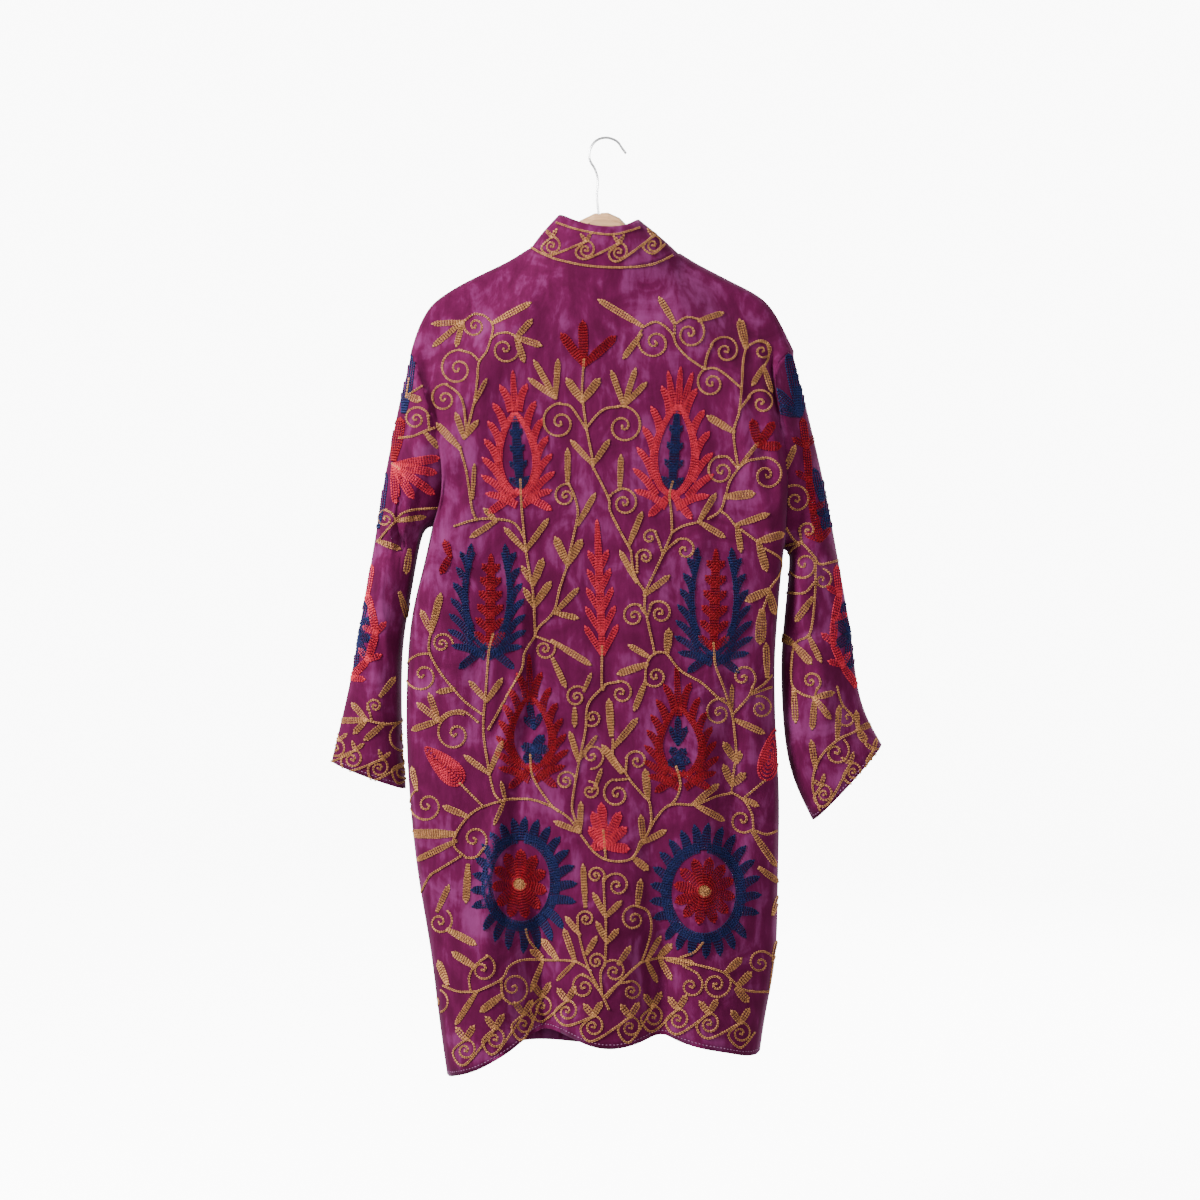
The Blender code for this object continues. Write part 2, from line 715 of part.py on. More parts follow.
def wood_solid(back, collection, surface):
    """The hanger's arms just under the shoulder seams, with the hump between them."""
    under = back["outer"][0] - back["normal"][0] * (WALL + WOOD_GAP)
    for j in (len(LEFT_SHOULDER) - 1, len(LEFT_SHOULDER) + NECK_STEPS_BACK - 1):
        under[j] = back["outer"][0][j] - back["normal"][0][j] * (WALL + 2.0 * WOOD_GAP)
    first = len(LEFT_SHOULDER) - 1 - TIP_POINT
    left = list(range(first, len(LEFT_SHOULDER)))
    right_start = len(LEFT_SHOULDER) + NECK_STEPS_BACK - 1
    right = list(range(right_start, right_start + len(RIGHT_SHOULDER) - first))
    reach = abs(under[left[0]][0]) - abs(under[left[-1]][0])
    rows = []
    for j in left + right:
        share = (abs(under[j][0]) - abs(under[left[-1]][0])) / reach
        height = WOOD_NECK_HEIGHT + (WOOD_END_HEIGHT - WOOD_NECK_HEIGHT) * share
        scale = WOOD_TIP_SCALE if j in (left[0], right[-1]) else 1.0
        top = under[j][2] - WOOD_TIP_DROP if scale < 1.0 else under[j][2]
        rows.append((under[j][0] * (WOOD_TIP_REACH if scale < 1.0 else 1.0), top, height * scale, scale))
    middle = len(left)
    hump = [(row.x, row.top, row.height, 1.0) for row in HUMP]
    rows = rows[:middle] + hump + rows[middle:]
    rings = [wood_section(*row) for row in rows]
    around = len(rings[0])
    points = [point for ring in rings for point in ring]
    faces = []
    for i in range(len(rings) - 1):
        for k in range(around):
            nxt = (k + 1) % around
            a = i * around
            b = a + around
            faces.append((a + k, a + nxt, b + nxt, b + k))
    faces.append(tuple(reversed(range(around))))
    faces.append(tuple(range(len(points) - around, len(points))))
    return mesh_object("hanger_wood", points, faces, collection, surface)


def wire_hook(collection, surface):
    """The bent wire hook, its foot set into the hump."""
    curve = bpy.data.curves.new("hanger_hook", "CURVE")
    curve.dimensions = "3D"
    curve.bevel_depth = WIRE_RADIUS
    curve.bevel_resolution = HOOK_SIDES
    curve.resolution_u = HOOK_STEPS
    curve.use_fill_caps = True
    spline = curve.splines.new("BEZIER")
    spline.bezier_points.add(len(HOOK) - 1)
    for point, row in zip(spline.bezier_points, HOOK):
        point.co = (row.x, 0.0, row.z)
        point.handle_left_type = "AUTO"
        point.handle_right_type = "AUTO"
    curve.materials.append(surface)
    thing = bpy.data.objects.new("hanger_hook", curve)
    collection.objects.link(thing)
    return thing


def drill(wood, cutters):
    """A hole in the hump for the hook's foot."""
    foot = HOOK[0]
    bpy.ops.mesh.primitive_cylinder_add(
        vertices=HOLE_SIDES,
        radius=HOLE_RADIUS,
        depth=HOLE_DEPTH * 2.0,
        location=(foot.x, 0.0, foot.z + HOLE_DEPTH - HOLE_FLOOR),
    )
    tool = bpy.context.active_object
    tool.name = "cut_hook_hole"
    for owner in list(tool.users_collection):
        owner.objects.unlink(tool)
    cutters.objects.link(tool)
    tool.hide_render = True
    tool.display_type = "WIRE"
    cut = wood.modifiers.new("hook hole", "BOOLEAN")
    cut.operation = "DIFFERENCE"
    cut.solver = "EXACT"
    cut.object = tool


def build():
    """Makes every piece."""
    for thing in list(bpy.data.objects):
        bpy.data.objects.remove(thing, do_unlink=True)
    collection = bpy.data.collections.new("velvet_jacket")
    cutters = bpy.data.collections.new("cutters")
    bpy.context.scene.collection.children.link(collection)
    bpy.context.scene.collection.children.link(cutters)

    top = back_top()
    shares = [share_of_width(point[0]) for point in top]
    back = panel_surface(top, BACK_HEM, BACK_FOLDS, 1.0, "back", shares)
    left_top = front_top(1)
    left_shares = [0.5 * (LEFT_SHOULDER[-1].x - p[0]) / LEFT_SHOULDER[-1].x for p in left_top]
    right_top = front_top(-1)
    right_shares = [
        1.0 - 0.5 * (RIGHT_SHOULDER[-1].x - p[0]) / RIGHT_SHOULDER[-1].x for p in right_top
    ]
    front_left = panel_surface(left_top, FRONT_HEM, FRONT_FOLDS, -1.0, "front", left_shares)
    front_right = panel_surface(right_top, FRONT_HEM, FRONT_FOLDS, -1.0, "front", right_shares)
    shells = {
        "back": (back, False),
        "front_left": (front_left, False),
        "front_right": (front_right, False),
        "sleeve_left": (sleeve_surface(1, LEFT_SLEEVE), True),
        "sleeve_right": (sleeve_surface(-1, RIGHT_SLEEVE), True),
        "collar": (collar_surface(back, front_left, front_right), False),
    }
    flips = {"front_left", "sleeve_right"}
    corners = [key_of((line[0].x, 0.0, line[0].z)) for line in (LEFT_SHOULDER, RIGHT_SHOULDER)]
    pieces = []
    for name, (outer, wraps) in shells.items():
        if name in flips or name == "collar":
            outer = outer[:, ::-1]
        neck = [j for j in range(1, outer.shape[1] - 1) if key_of(outer[0, j]) in corners]
        piece = {"name": name, "outer": outer, "wraps": wraps}
        piece["normal"] = grid_normals(outer, wraps)
        piece["neck"] = [] if wraps or name == "collar" else neck
        piece["arm"] = [] if wraps or name == "collar" else [ARM_ROWS]
        pieces.append(piece)
    share_normals(pieces)
    velvet = paint("purple velvet", VELVET, 0.9, 0.0)
    collar_velvet = paint("purple velvet of the collar", VELVET_COLLAR, 0.9, 0.0)
    wood = paint("tan wood", WOOD, 0.5, 0.0)
    steel = paint("bright steel wire", STEEL, 0.3, 1.0)
    for piece in pieces:
        piece["move"] = drawn_back(piece)
        surface = collar_velvet if piece["name"] == "collar" else velvet
        cloth_solid(piece, collection, surface)
    hanger = wood_solid(pieces[0], collection, wood)
    drill(hanger, cutters)
    wire_hook(collection, steel)


build()
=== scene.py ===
import logging
import math
from collections import defaultdict
from dataclasses import dataclass, field
from enum import Enum
from typing import Iterable, Sequence

import bmesh
import bpy
import numpy
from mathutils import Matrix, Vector, noise
from mathutils.bvhtree import BVHTree


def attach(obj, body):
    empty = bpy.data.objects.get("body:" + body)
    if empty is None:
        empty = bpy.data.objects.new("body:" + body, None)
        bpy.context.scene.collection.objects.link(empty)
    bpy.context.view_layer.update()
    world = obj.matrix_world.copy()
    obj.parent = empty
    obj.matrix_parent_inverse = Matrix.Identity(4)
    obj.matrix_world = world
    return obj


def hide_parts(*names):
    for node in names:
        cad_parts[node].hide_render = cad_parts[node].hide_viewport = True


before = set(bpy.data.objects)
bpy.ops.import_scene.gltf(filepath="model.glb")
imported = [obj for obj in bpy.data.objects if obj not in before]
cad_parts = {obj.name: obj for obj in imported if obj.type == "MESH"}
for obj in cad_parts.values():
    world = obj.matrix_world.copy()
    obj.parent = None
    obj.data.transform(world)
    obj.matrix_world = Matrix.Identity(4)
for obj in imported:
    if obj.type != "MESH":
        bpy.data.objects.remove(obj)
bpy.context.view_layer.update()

Point = tuple[float, float]
Colour = tuple[float, float, float]

# What is sewn is placed in pixels of the photo, which shows the jacket from behind: across
# grows to the wearer's right, down grows to the hem. One pixel is 1.2 mm at the side seams,
# and the hook's top is the pixel (604.6, 139).
PIXEL = 0.0012
PHOTO_MIDDLE = 604.6
PHOTO_TOP = 139.0
EYE = Vector((0.0055, 2.4, -0.5532))

ROW_PITCH = 2.1
EDGE_INSET = 4.0
STITCH_LENGTH = 0.0031
SEAM_REACH = 0.0028
LOGGER = logging.getLogger("velvet_jacket")


class Thread(Enum):
    """The threads that the jacket is sewn with."""

    GOLD = "gold"
    RED = "red"
    CORAL = "coral"
    NAVY = "navy"
    PALE = "pale"


class Face(Enum):
    """The side of the hanging jacket that a row of stitches is laid on."""

    BEHIND = 1.0
    BEFORE = -1.0


# Node trees


class Tree:
    """A small hand for building node trees."""

    def __init__(self, tree: bpy.types.NodeTree) -> None:
        """Keep the tree.

        Args:
            tree: the node tree to build in.
        """
        self.tree = tree

    def add(self, kind: str, inputs: dict | None = None, **settings: object) -> bpy.types.Node:
        """Add one node.

        Args:
            kind: the node's type.
            inputs: values for its sockets, by name or number.
            settings: values for its own properties.

        Returns:
            The new node.
        """
        node = self.tree.nodes.new(kind)
        for name, value in settings.items():
            setattr(node, name, value)
        for key, value in (inputs or {}).items():
            node.inputs[key].default_value = value
        return node

    def join(self, source: bpy.types.NodeSocket, target: bpy.types.NodeSocket) -> None:
        """Link two sockets."""
        self.tree.links.new(source, target)

    def ramp(self, source: bpy.types.NodeSocket, stops: Sequence[tuple[float,
        Colour]]) -> bpy.types.NodeSocket:
        """Turn a value into a colour.

        Args:
            source: the value.
            stops: places from 0 to 1 with their colours.

        Returns:
            The colour socket.
        """
        node = self.add("ShaderNodeValToRGB")
        elements = node.color_ramp.elements
        while len(elements) < len(stops):
            elements.new(0.5)
        for element, (place, colour) in zip(elements, stops):
            element.position = place
            element.color = (*colour, 1.0)
        self.join(source, node.inputs["Fac"])
        return node.outputs["Color"]


def shader_group(name: str, inputs: Sequence[tuple[str, str, float]], outputs: Sequence[tuple[str,
    str]]) -> Tree:
    """Start a shader node group.

    Args:
        name: the group's name.
        inputs: name, socket type and starting value of each input.
        outputs: name and socket type of each output.

    Returns:
        The group's tree, with its input and output nodes in it.
    """
    group = bpy.data.node_groups.new(name, "ShaderNodeTree")
    for label, kind, value in inputs:
        socket = group.interface.new_socket(label, in_out="INPUT", socket_type=kind)
        if kind == "NodeSocketFloat":
            socket.default_value = value
    for label, kind in outputs:
        group.interface.new_socket(label, in_out="OUTPUT", socket_type=kind)
    tree = Tree(group)
    tree.add("NodeGroupInput")
    tree.add("NodeGroupOutput")
    return tree


def pile_group() -> bpy.types.NodeTree:
    """Brushed pile: soft patches and streaks, which mark painted sheen where it lies over and painted shade where
    one looks into it, and the fine grain of its tips.

    Returns:
        A group with Sheen, a mask from 0 to 1, and Height.
    """
    vector, number = "NodeSocketVector", "NodeSocketFloat"
    tree = shader_group(
        "brushed pile",
        (("Vector", vector, 0.0), ("Patches", number, 9.0), ("Streaks", number, 85.0), ("Grain", number, 900.0)),
        (("Sheen", number), ("Height", number)),
    )
    nodes = tree.tree.nodes
    given, out = nodes["Group Input"], nodes["Group Output"]
    patches = tree.add("ShaderNodeTexNoise", {"Detail": 5.0, "Roughness": 0.55, "Distortion": 1.2})
    stretched = tree.add("ShaderNodeMapping", {"Scale": (1.0, 1.0, 0.28)})
    streaks = tree.add("ShaderNodeTexNoise", {"Detail": 4.0, "Roughness": 0.6, "Distortion": 0.4})
    grain = tree.add("ShaderNodeTexNoise", {"Detail": 2.0, "Roughness": 0.6})
    for source, target in (
        (given.outputs["Vector"], patches.inputs["Vector"]),
        (given.outputs["Patches"], patches.inputs["Scale"]),
        (given.outputs["Vector"], stretched.inputs["Vector"]),
        (stretched.outputs["Vector"], streaks.inputs["Vector"]),
        (given.outputs["Streaks"], streaks.inputs["Scale"]),
        (given.outputs["Vector"], grain.inputs["Vector"]),
        (given.outputs["Grain"], grain.inputs["Scale"]),
    ):
        tree.join(source, target)
    mixed = tree.add("ShaderNodeMath", {1: 0.45}, operation="MULTIPLY")
    tree.join(streaks.outputs["Fac"], mixed.inputs[0])
    summed = tree.add("ShaderNodeMath", {1: 0.62, 2: 0.0}, operation="MULTIPLY_ADD")
    tree.join(patches.outputs["Fac"], summed.inputs[0])
    tree.join(mixed.outputs[0], summed.inputs[2])
    # Patches and streaks spread into the Sheen mask: 1 for painted sheen where the pile lies over, 0 for painted
    # shade down in the pile.
    spread = tree.add("ShaderNodeMapRange", {1: 0.38, 2: 0.74, 3: 0.0, 4: 1.0}, interpolation_type="SMOOTHSTEP")
    tree.join(summed.outputs[0], spread.inputs[0])
    tree.join(spread.outputs[0], out.inputs["Sheen"])
    height = tree.add("ShaderNodeMath", {1: 0.5}, operation="MULTIPLY_ADD")
    tree.join(grain.outputs["Fac"], height.inputs[0])
    tree.join(mixed.outputs[0], height.inputs[2])
    tree.join(height.outputs[0], out.inputs["Height"])
    return tree.tree


def strand_group() -> bpy.types.NodeTree:
    """Spun thread: a fine twist, an uneven dye, and the shade down between the strands.

    Returns:
        A group with Shade, a value round 1, and Height.
    """
    vector, number = "NodeSocketVector", "NodeSocketFloat"
    tree = shader_group(
        "spun thread",
        (
            ("Vector", vector, 0.0),
            ("Dye", number, 160.0),
            ("Twist", number, 2600.0),
            ("Contrast", number, 0.3),
            ("Crown", number, 1.0),
            ("Stitch", number, 1.0),
        ),
        (("Shade", number), ("Height", number)),
    )
    nodes = tree.tree.nodes
    given, out = nodes["Group Input"], nodes["Group Output"]
    dye = tree.add("ShaderNodeTexNoise", {"Detail": 3.0, "Roughness": 0.7})
    twist = tree.add("ShaderNodeTexNoise", {"Detail": 1.0, "Roughness": 0.5})
    tree.join(given.outputs["Vector"], dye.inputs["Vector"])
    tree.join(given.outputs["Dye"], dye.inputs["Scale"])
    tree.join(given.outputs["Vector"], twist.inputs["Vector"])
    tree.join(given.outputs["Twist"], twist.inputs["Scale"])
    centred = tree.add("ShaderNodeMath", {1: 0.5}, operation="SUBTRACT")
    tree.join(dye.outputs["Fac"], centred.inputs[0])
    shade = tree.add("ShaderNodeMath", {2: 1.0}, operation="MULTIPLY_ADD")
    tree.join(centred.outputs[0], shade.inputs[0])
    tree.join(given.outputs["Contrast"], shade.inputs[1])
    # Painted shade low on each strand, down between the strands, and a faint painted highlight on its crown.
    crown_shade = tree.add("ShaderNodeMapRange", {1: 0.0, 2: 1.0, 3: 0.34, 4: 1.06})
    tree.join(given.outputs["Crown"], crown_shade.inputs[0])
    shaded = tree.add("ShaderNodeMath", operation="MULTIPLY")
    tree.join(shade.outputs[0], shaded.inputs[0])
    tree.join(crown_shade.outputs[0], shaded.inputs[1])
    dyed = tree.add("ShaderNodeMath", operation="MULTIPLY")
    tree.join(shaded.outputs[0], dyed.inputs[0])
    tree.join(given.outputs["Stitch"], dyed.inputs[1])
    tree.join(dyed.outputs[0], out.inputs["Shade"])
    tree.join(twist.outputs["Fac"], out.inputs["Height"])
    return tree.tree


class Groups:
    """The shader node groups, each built once."""

    def __init__(self) -> None:
        """Build the groups."""
        self.pile = pile_group()
        self.strand = strand_group()


def new_material(name: str, roughness: float) -> tuple[bpy.types.Material, Tree, bpy.types.Node,
    bpy.types.NodeSocket]:
    """Start a material.

    Args:
        name: the material's name.
        roughness: its roughness.

    Returns:
        The material, its tree, its Principled shader and its Object coordinates.
    """
    material = bpy.data.materials.new(name)
    material.use_nodes = True
    tree = Tree(material.node_tree)
    shader = material.node_tree.nodes["Principled BSDF"]
    shader.inputs["Roughness"].default_value = roughness
    place = tree.add("ShaderNodeTexCoord")
    return material, tree, shader, place.outputs["Object"]


def bump(tree: Tree, height: bpy.types.NodeSocket, strength: float, distance: float,
    shader: bpy.types.Node) -> None:
    """Feed a height to a shader's normal.

    Args:
        tree: the material's tree.
        height: the height.
        strength: how strong the bump is.
        distance: how high it is in metres.
        shader: the shader that takes it.
    """
    node = tree.add("ShaderNodeBump", {"Strength": strength, "Distance": distance})
    tree.join(height, node.inputs["Height"])
    tree.join(node.outputs["Normal"], shader.inputs["Normal"])


@dataclass(frozen=True)
class VelvetFinish:
    """Cotton velvet with its pile brushed in patches, painted in its colour as sheen where the pile lies over and
    as shade where one looks into it.

    Attributes:
        name: the material's name.
        deep: painted shade, the colour where one looks into the pile.
        plain: the colour between.
        brushed_sheen: painted sheen, the colour where the pile lies over.
        patches: patches to a metre.
    """

    name: str
    deep: Colour = (0.052, 0.0012, 0.021)
    plain: Colour = (0.076, 0.0028, 0.034)
    brushed_sheen: Colour = (0.140, 0.0210, 0.092)
    patches: float = 15.0

    def material(self, groups: Groups) -> bpy.types.Material:
        """Build the material.

        Args:
            groups: the shared groups.

        Returns:
            The velvet.
        """
        material, tree, shader, place = new_material(self.name, 0.82)
        shader.inputs["Sheen Weight"].default_value = 0.15
        shader.inputs["Sheen Roughness"].default_value = 0.38
        shader.inputs["Sheen Tint"].default_value = (0.86, 0.52, 0.84, 1.0)
        shader.inputs["Specular IOR Level"].default_value = 0.06
        pile = tree.add("ShaderNodeGroup", node_tree=groups.pile)
        pile.inputs["Patches"].default_value = self.patches
        tree.join(place, pile.inputs["Vector"])
        # Painted sheen and shade: the pile's mask runs the colour from painted shade in the pile to painted sheen
        # where it lies over.
        colour = tree.ramp(pile.outputs["Sheen"], ((0.0, self.deep), (0.45, self.plain), (1.0, self.brushed_sheen)))
        tree.join(colour, shader.inputs["Base Color"])
        bump(tree, pile.outputs["Height"], 0.35, 0.0008, shader)
        return material


@dataclass(frozen=True)
class ThreadFinish:
    """Cotton thread.

    Attributes:
        name: the material's name.
        colour: its dye.
        contrast: how uneven the dye is.
    """

    name: str
    colour: Colour
    contrast: float = 0.7

    def material(self, groups: Groups) -> bpy.types.Material:
        """Build the material.

        Args:
            groups: the shared groups.

        Returns:
            The thread.
        """
        material, tree, shader, place = new_material(self.name, 0.7)
        shader.inputs["Specular IOR Level"].default_value = 0.25
        strand = tree.add("ShaderNodeGroup", node_tree=groups.strand)
        strand.inputs["Contrast"].default_value = self.contrast
        tree.join(place, strand.inputs["Vector"])
        # crown darkens each strand low down as painted shade; stitch_dye gives each stitch its own random tone.
        for attribute, socket in (("crown", "Crown"), ("stitch_dye", "Stitch")):
            value = tree.add("ShaderNodeAttribute", attribute_name=attribute)
            tree.join(value.outputs["Fac"], strand.inputs[socket])
        dyed = tree.add("ShaderNodeVectorMath", operation="SCALE")
        dyed.inputs[0].default_value = self.colour
        tree.join(strand.outputs["Shade"], dyed.inputs["Scale"])
        tree.join(dyed.outputs[0], shader.inputs["Base Color"])
        bump(tree, strand.outputs["Height"], 0.4, 0.0003, shader)
        return material


@dataclass(frozen=True)
class WoodFinish:
    """Varnished pale wood with its grain along the arms."""

    name: str = "beech"
    pale: Colour = (0.62, 0.36, 0.18)
    dark: Colour = (0.40, 0.20, 0.085)

    def material(self) -> bpy.types.Material:
        """Build the material.

        Returns:
            The wood.
        """
        material, tree, shader, place = new_material(self.name, 0.42)
        shader.inputs["Coat Weight"].default_value = 0.25
        shader.inputs["Coat Roughness"].default_value = 0.25
        along = tree.add("ShaderNodeMapping", {"Scale": (0.06, 1.0, 1.0)})
        grain = tree.add("ShaderNodeTexNoise", {"Scale": 260.0, "Detail": 6.0, "Roughness": 0.6, "Distortion": 0.6})
        tree.join(place, along.inputs["Vector"])
        tree.join(along.outputs["Vector"], grain.inputs["Vector"])
        colour = tree.ramp(grain.outputs["Fac"], ((0.35, self.dark), (0.6, self.pale)))
        tree.join(colour, shader.inputs["Base Color"])
        bump(tree, grain.outputs["Fac"], 0.2, 0.0003, shader)
        return material


@dataclass(frozen=True)
class SteelFinish:
    """Drawn and plated steel wire."""

    name: str = "plated wire"
    colour: Colour = (0.78, 0.78, 0.80)

    def material(self) -> bpy.types.Material:
        """Build the material.

        Returns:
            The steel.
        """
        material, tree, shader, place = new_material(self.name, 0.28)
        shader.inputs["Metallic"].default_value = 1.0
        wear = tree.add("ShaderNodeTexNoise", {"Scale": 700.0, "Detail": 4.0})
        tree.join(place, wear.inputs["Vector"])
        rough = tree.add("ShaderNodeMapRange", {1: 0.3, 2: 0.7, 3: 0.18, 4: 0.38})
        tree.join(wear.outputs["Fac"], rough.inputs[0])
        tree.join(rough.outputs[0], shader.inputs["Roughness"])
        worn = tuple(0.7 * part for part in self.colour)
        colour = tree.ramp(wear.outputs["Fac"], ((0.3, worn), (0.6, self.colour)))
        tree.join(colour, shader.inputs["Base Color"])
        return material


@dataclass(frozen=True)
class PaperFinish:
    """The pale paper of the floor and the sweep behind."""

    name: str = "paper"
    colour: Colour = (0.93, 0.93, 0.925)
    glow: float = 9.0

    def material(self) -> bpy.types.Material:
        """Build the material.

        Returns:
            The paper.
        """
        material, tree, shader, place = new_material(self.name, 0.95)
        tooth = tree.add("ShaderNodeTexNoise", {"Scale": 4.0, "Detail": 2.0})
        tree.join(place, tooth.inputs["Vector"])
        shade = tuple(0.985 * part for part in self.colour)
        tree.join(tree.ramp(tooth.outputs["Fac"], ((0.3, shade), (0.7, self.colour))), shader.inputs["Base Color"])
        shader.inputs["Emission Color"].default_value = (1.0, 1.0, 1.0, 1.0)
        shader.inputs["Emission Strength"].default_value = self.glow
        return material


# Meshes


def add_object(name: str, mesh: bpy.types.Mesh, material: bpy.types.Material) -> bpy.types.Object:
    """Put a mesh in the scene.

    Args:
        name: the object's name.
        mesh: its mesh.
        material: its material.

    Returns:
        The new object.
    """
    mesh.materials.clear()
    mesh.materials.append(material)
    piece = bpy.data.objects.new(name, mesh)
    bpy.context.scene.collection.objects.link(piece)
    return piece


def applied(piece: bpy.types.Object) -> None:
    """Turn a piece with live modifiers into plain mesh."""
    graph = bpy.context.evaluated_depsgraph_get()
    mesh = bpy.data.meshes.new_from_object(piece.evaluated_get(graph))
    piece.modifiers.clear()
    piece.data = mesh


@dataclass(frozen=True)
class Crease:
    """One soft trough or ridge, laid on the hanging cloth.

    Attributes:
        line: its points, (x, z) in metres.
        width: half its width.
        height: how far it stands out, or below nought how deep it is.
        one_sided: how far one flank is drawn out, for a fold that lies over.
    """

    line: tuple[Point, ...]
    width: float
    height: float
    one_sided: float = 0.0

    def at(self, across: numpy.ndarray, up: numpy.ndarray) -> numpy.ndarray:
        """Give the crease's height at many points.

        Args:
            across: their x.
            up: their z.

        Returns:
            One height a point.
        """
        best = numpy.full(across.shape, 1e9)
        along = numpy.zeros(across.shape)
        flank = numpy.zeros(across.shape)
        lengths = [math.dist(a, b) for a, b in zip(self.line, self.line[1:])]
        total = sum(lengths)
        done = 0.0
        for (ax, az), (bx, bz), length in zip(self.line, self.line[1:], lengths):
            dx, dz = (bx - ax) / length, (bz - az) / length
            share = numpy.clip((across - ax) * dx + (up - az) * dz, 0.0, length)
            away_x, away_z = across - ax - share * dx, up - az - share * dz
            away = numpy.hypot(away_x, away_z)
            near = away < best
            best = numpy.where(near, away, best)
            along = numpy.where(near, (done + share) / total, along)
            flank = numpy.where(near, numpy.sign(away_x * dz - away_z * dx), flank)
            done += length
        width = self.width * (0.75 + 0.5 * numpy.sin(math.pi * along)) * (1.0 + self.one_sided * flank)
        fade = numpy.sin(math.pi * numpy.clip(along, 0.0, 1.0) * 0.92 + 0.04 * math.pi) ** 0.6
        uneven = 1.0 + 0.25 * numpy.sin(9.0 * along + 40.0 * self.width) + 0.12 * numpy.sin(23.0 * along)
        return self.height * fade * uneven * numpy.exp(-((best / width) ** 2))


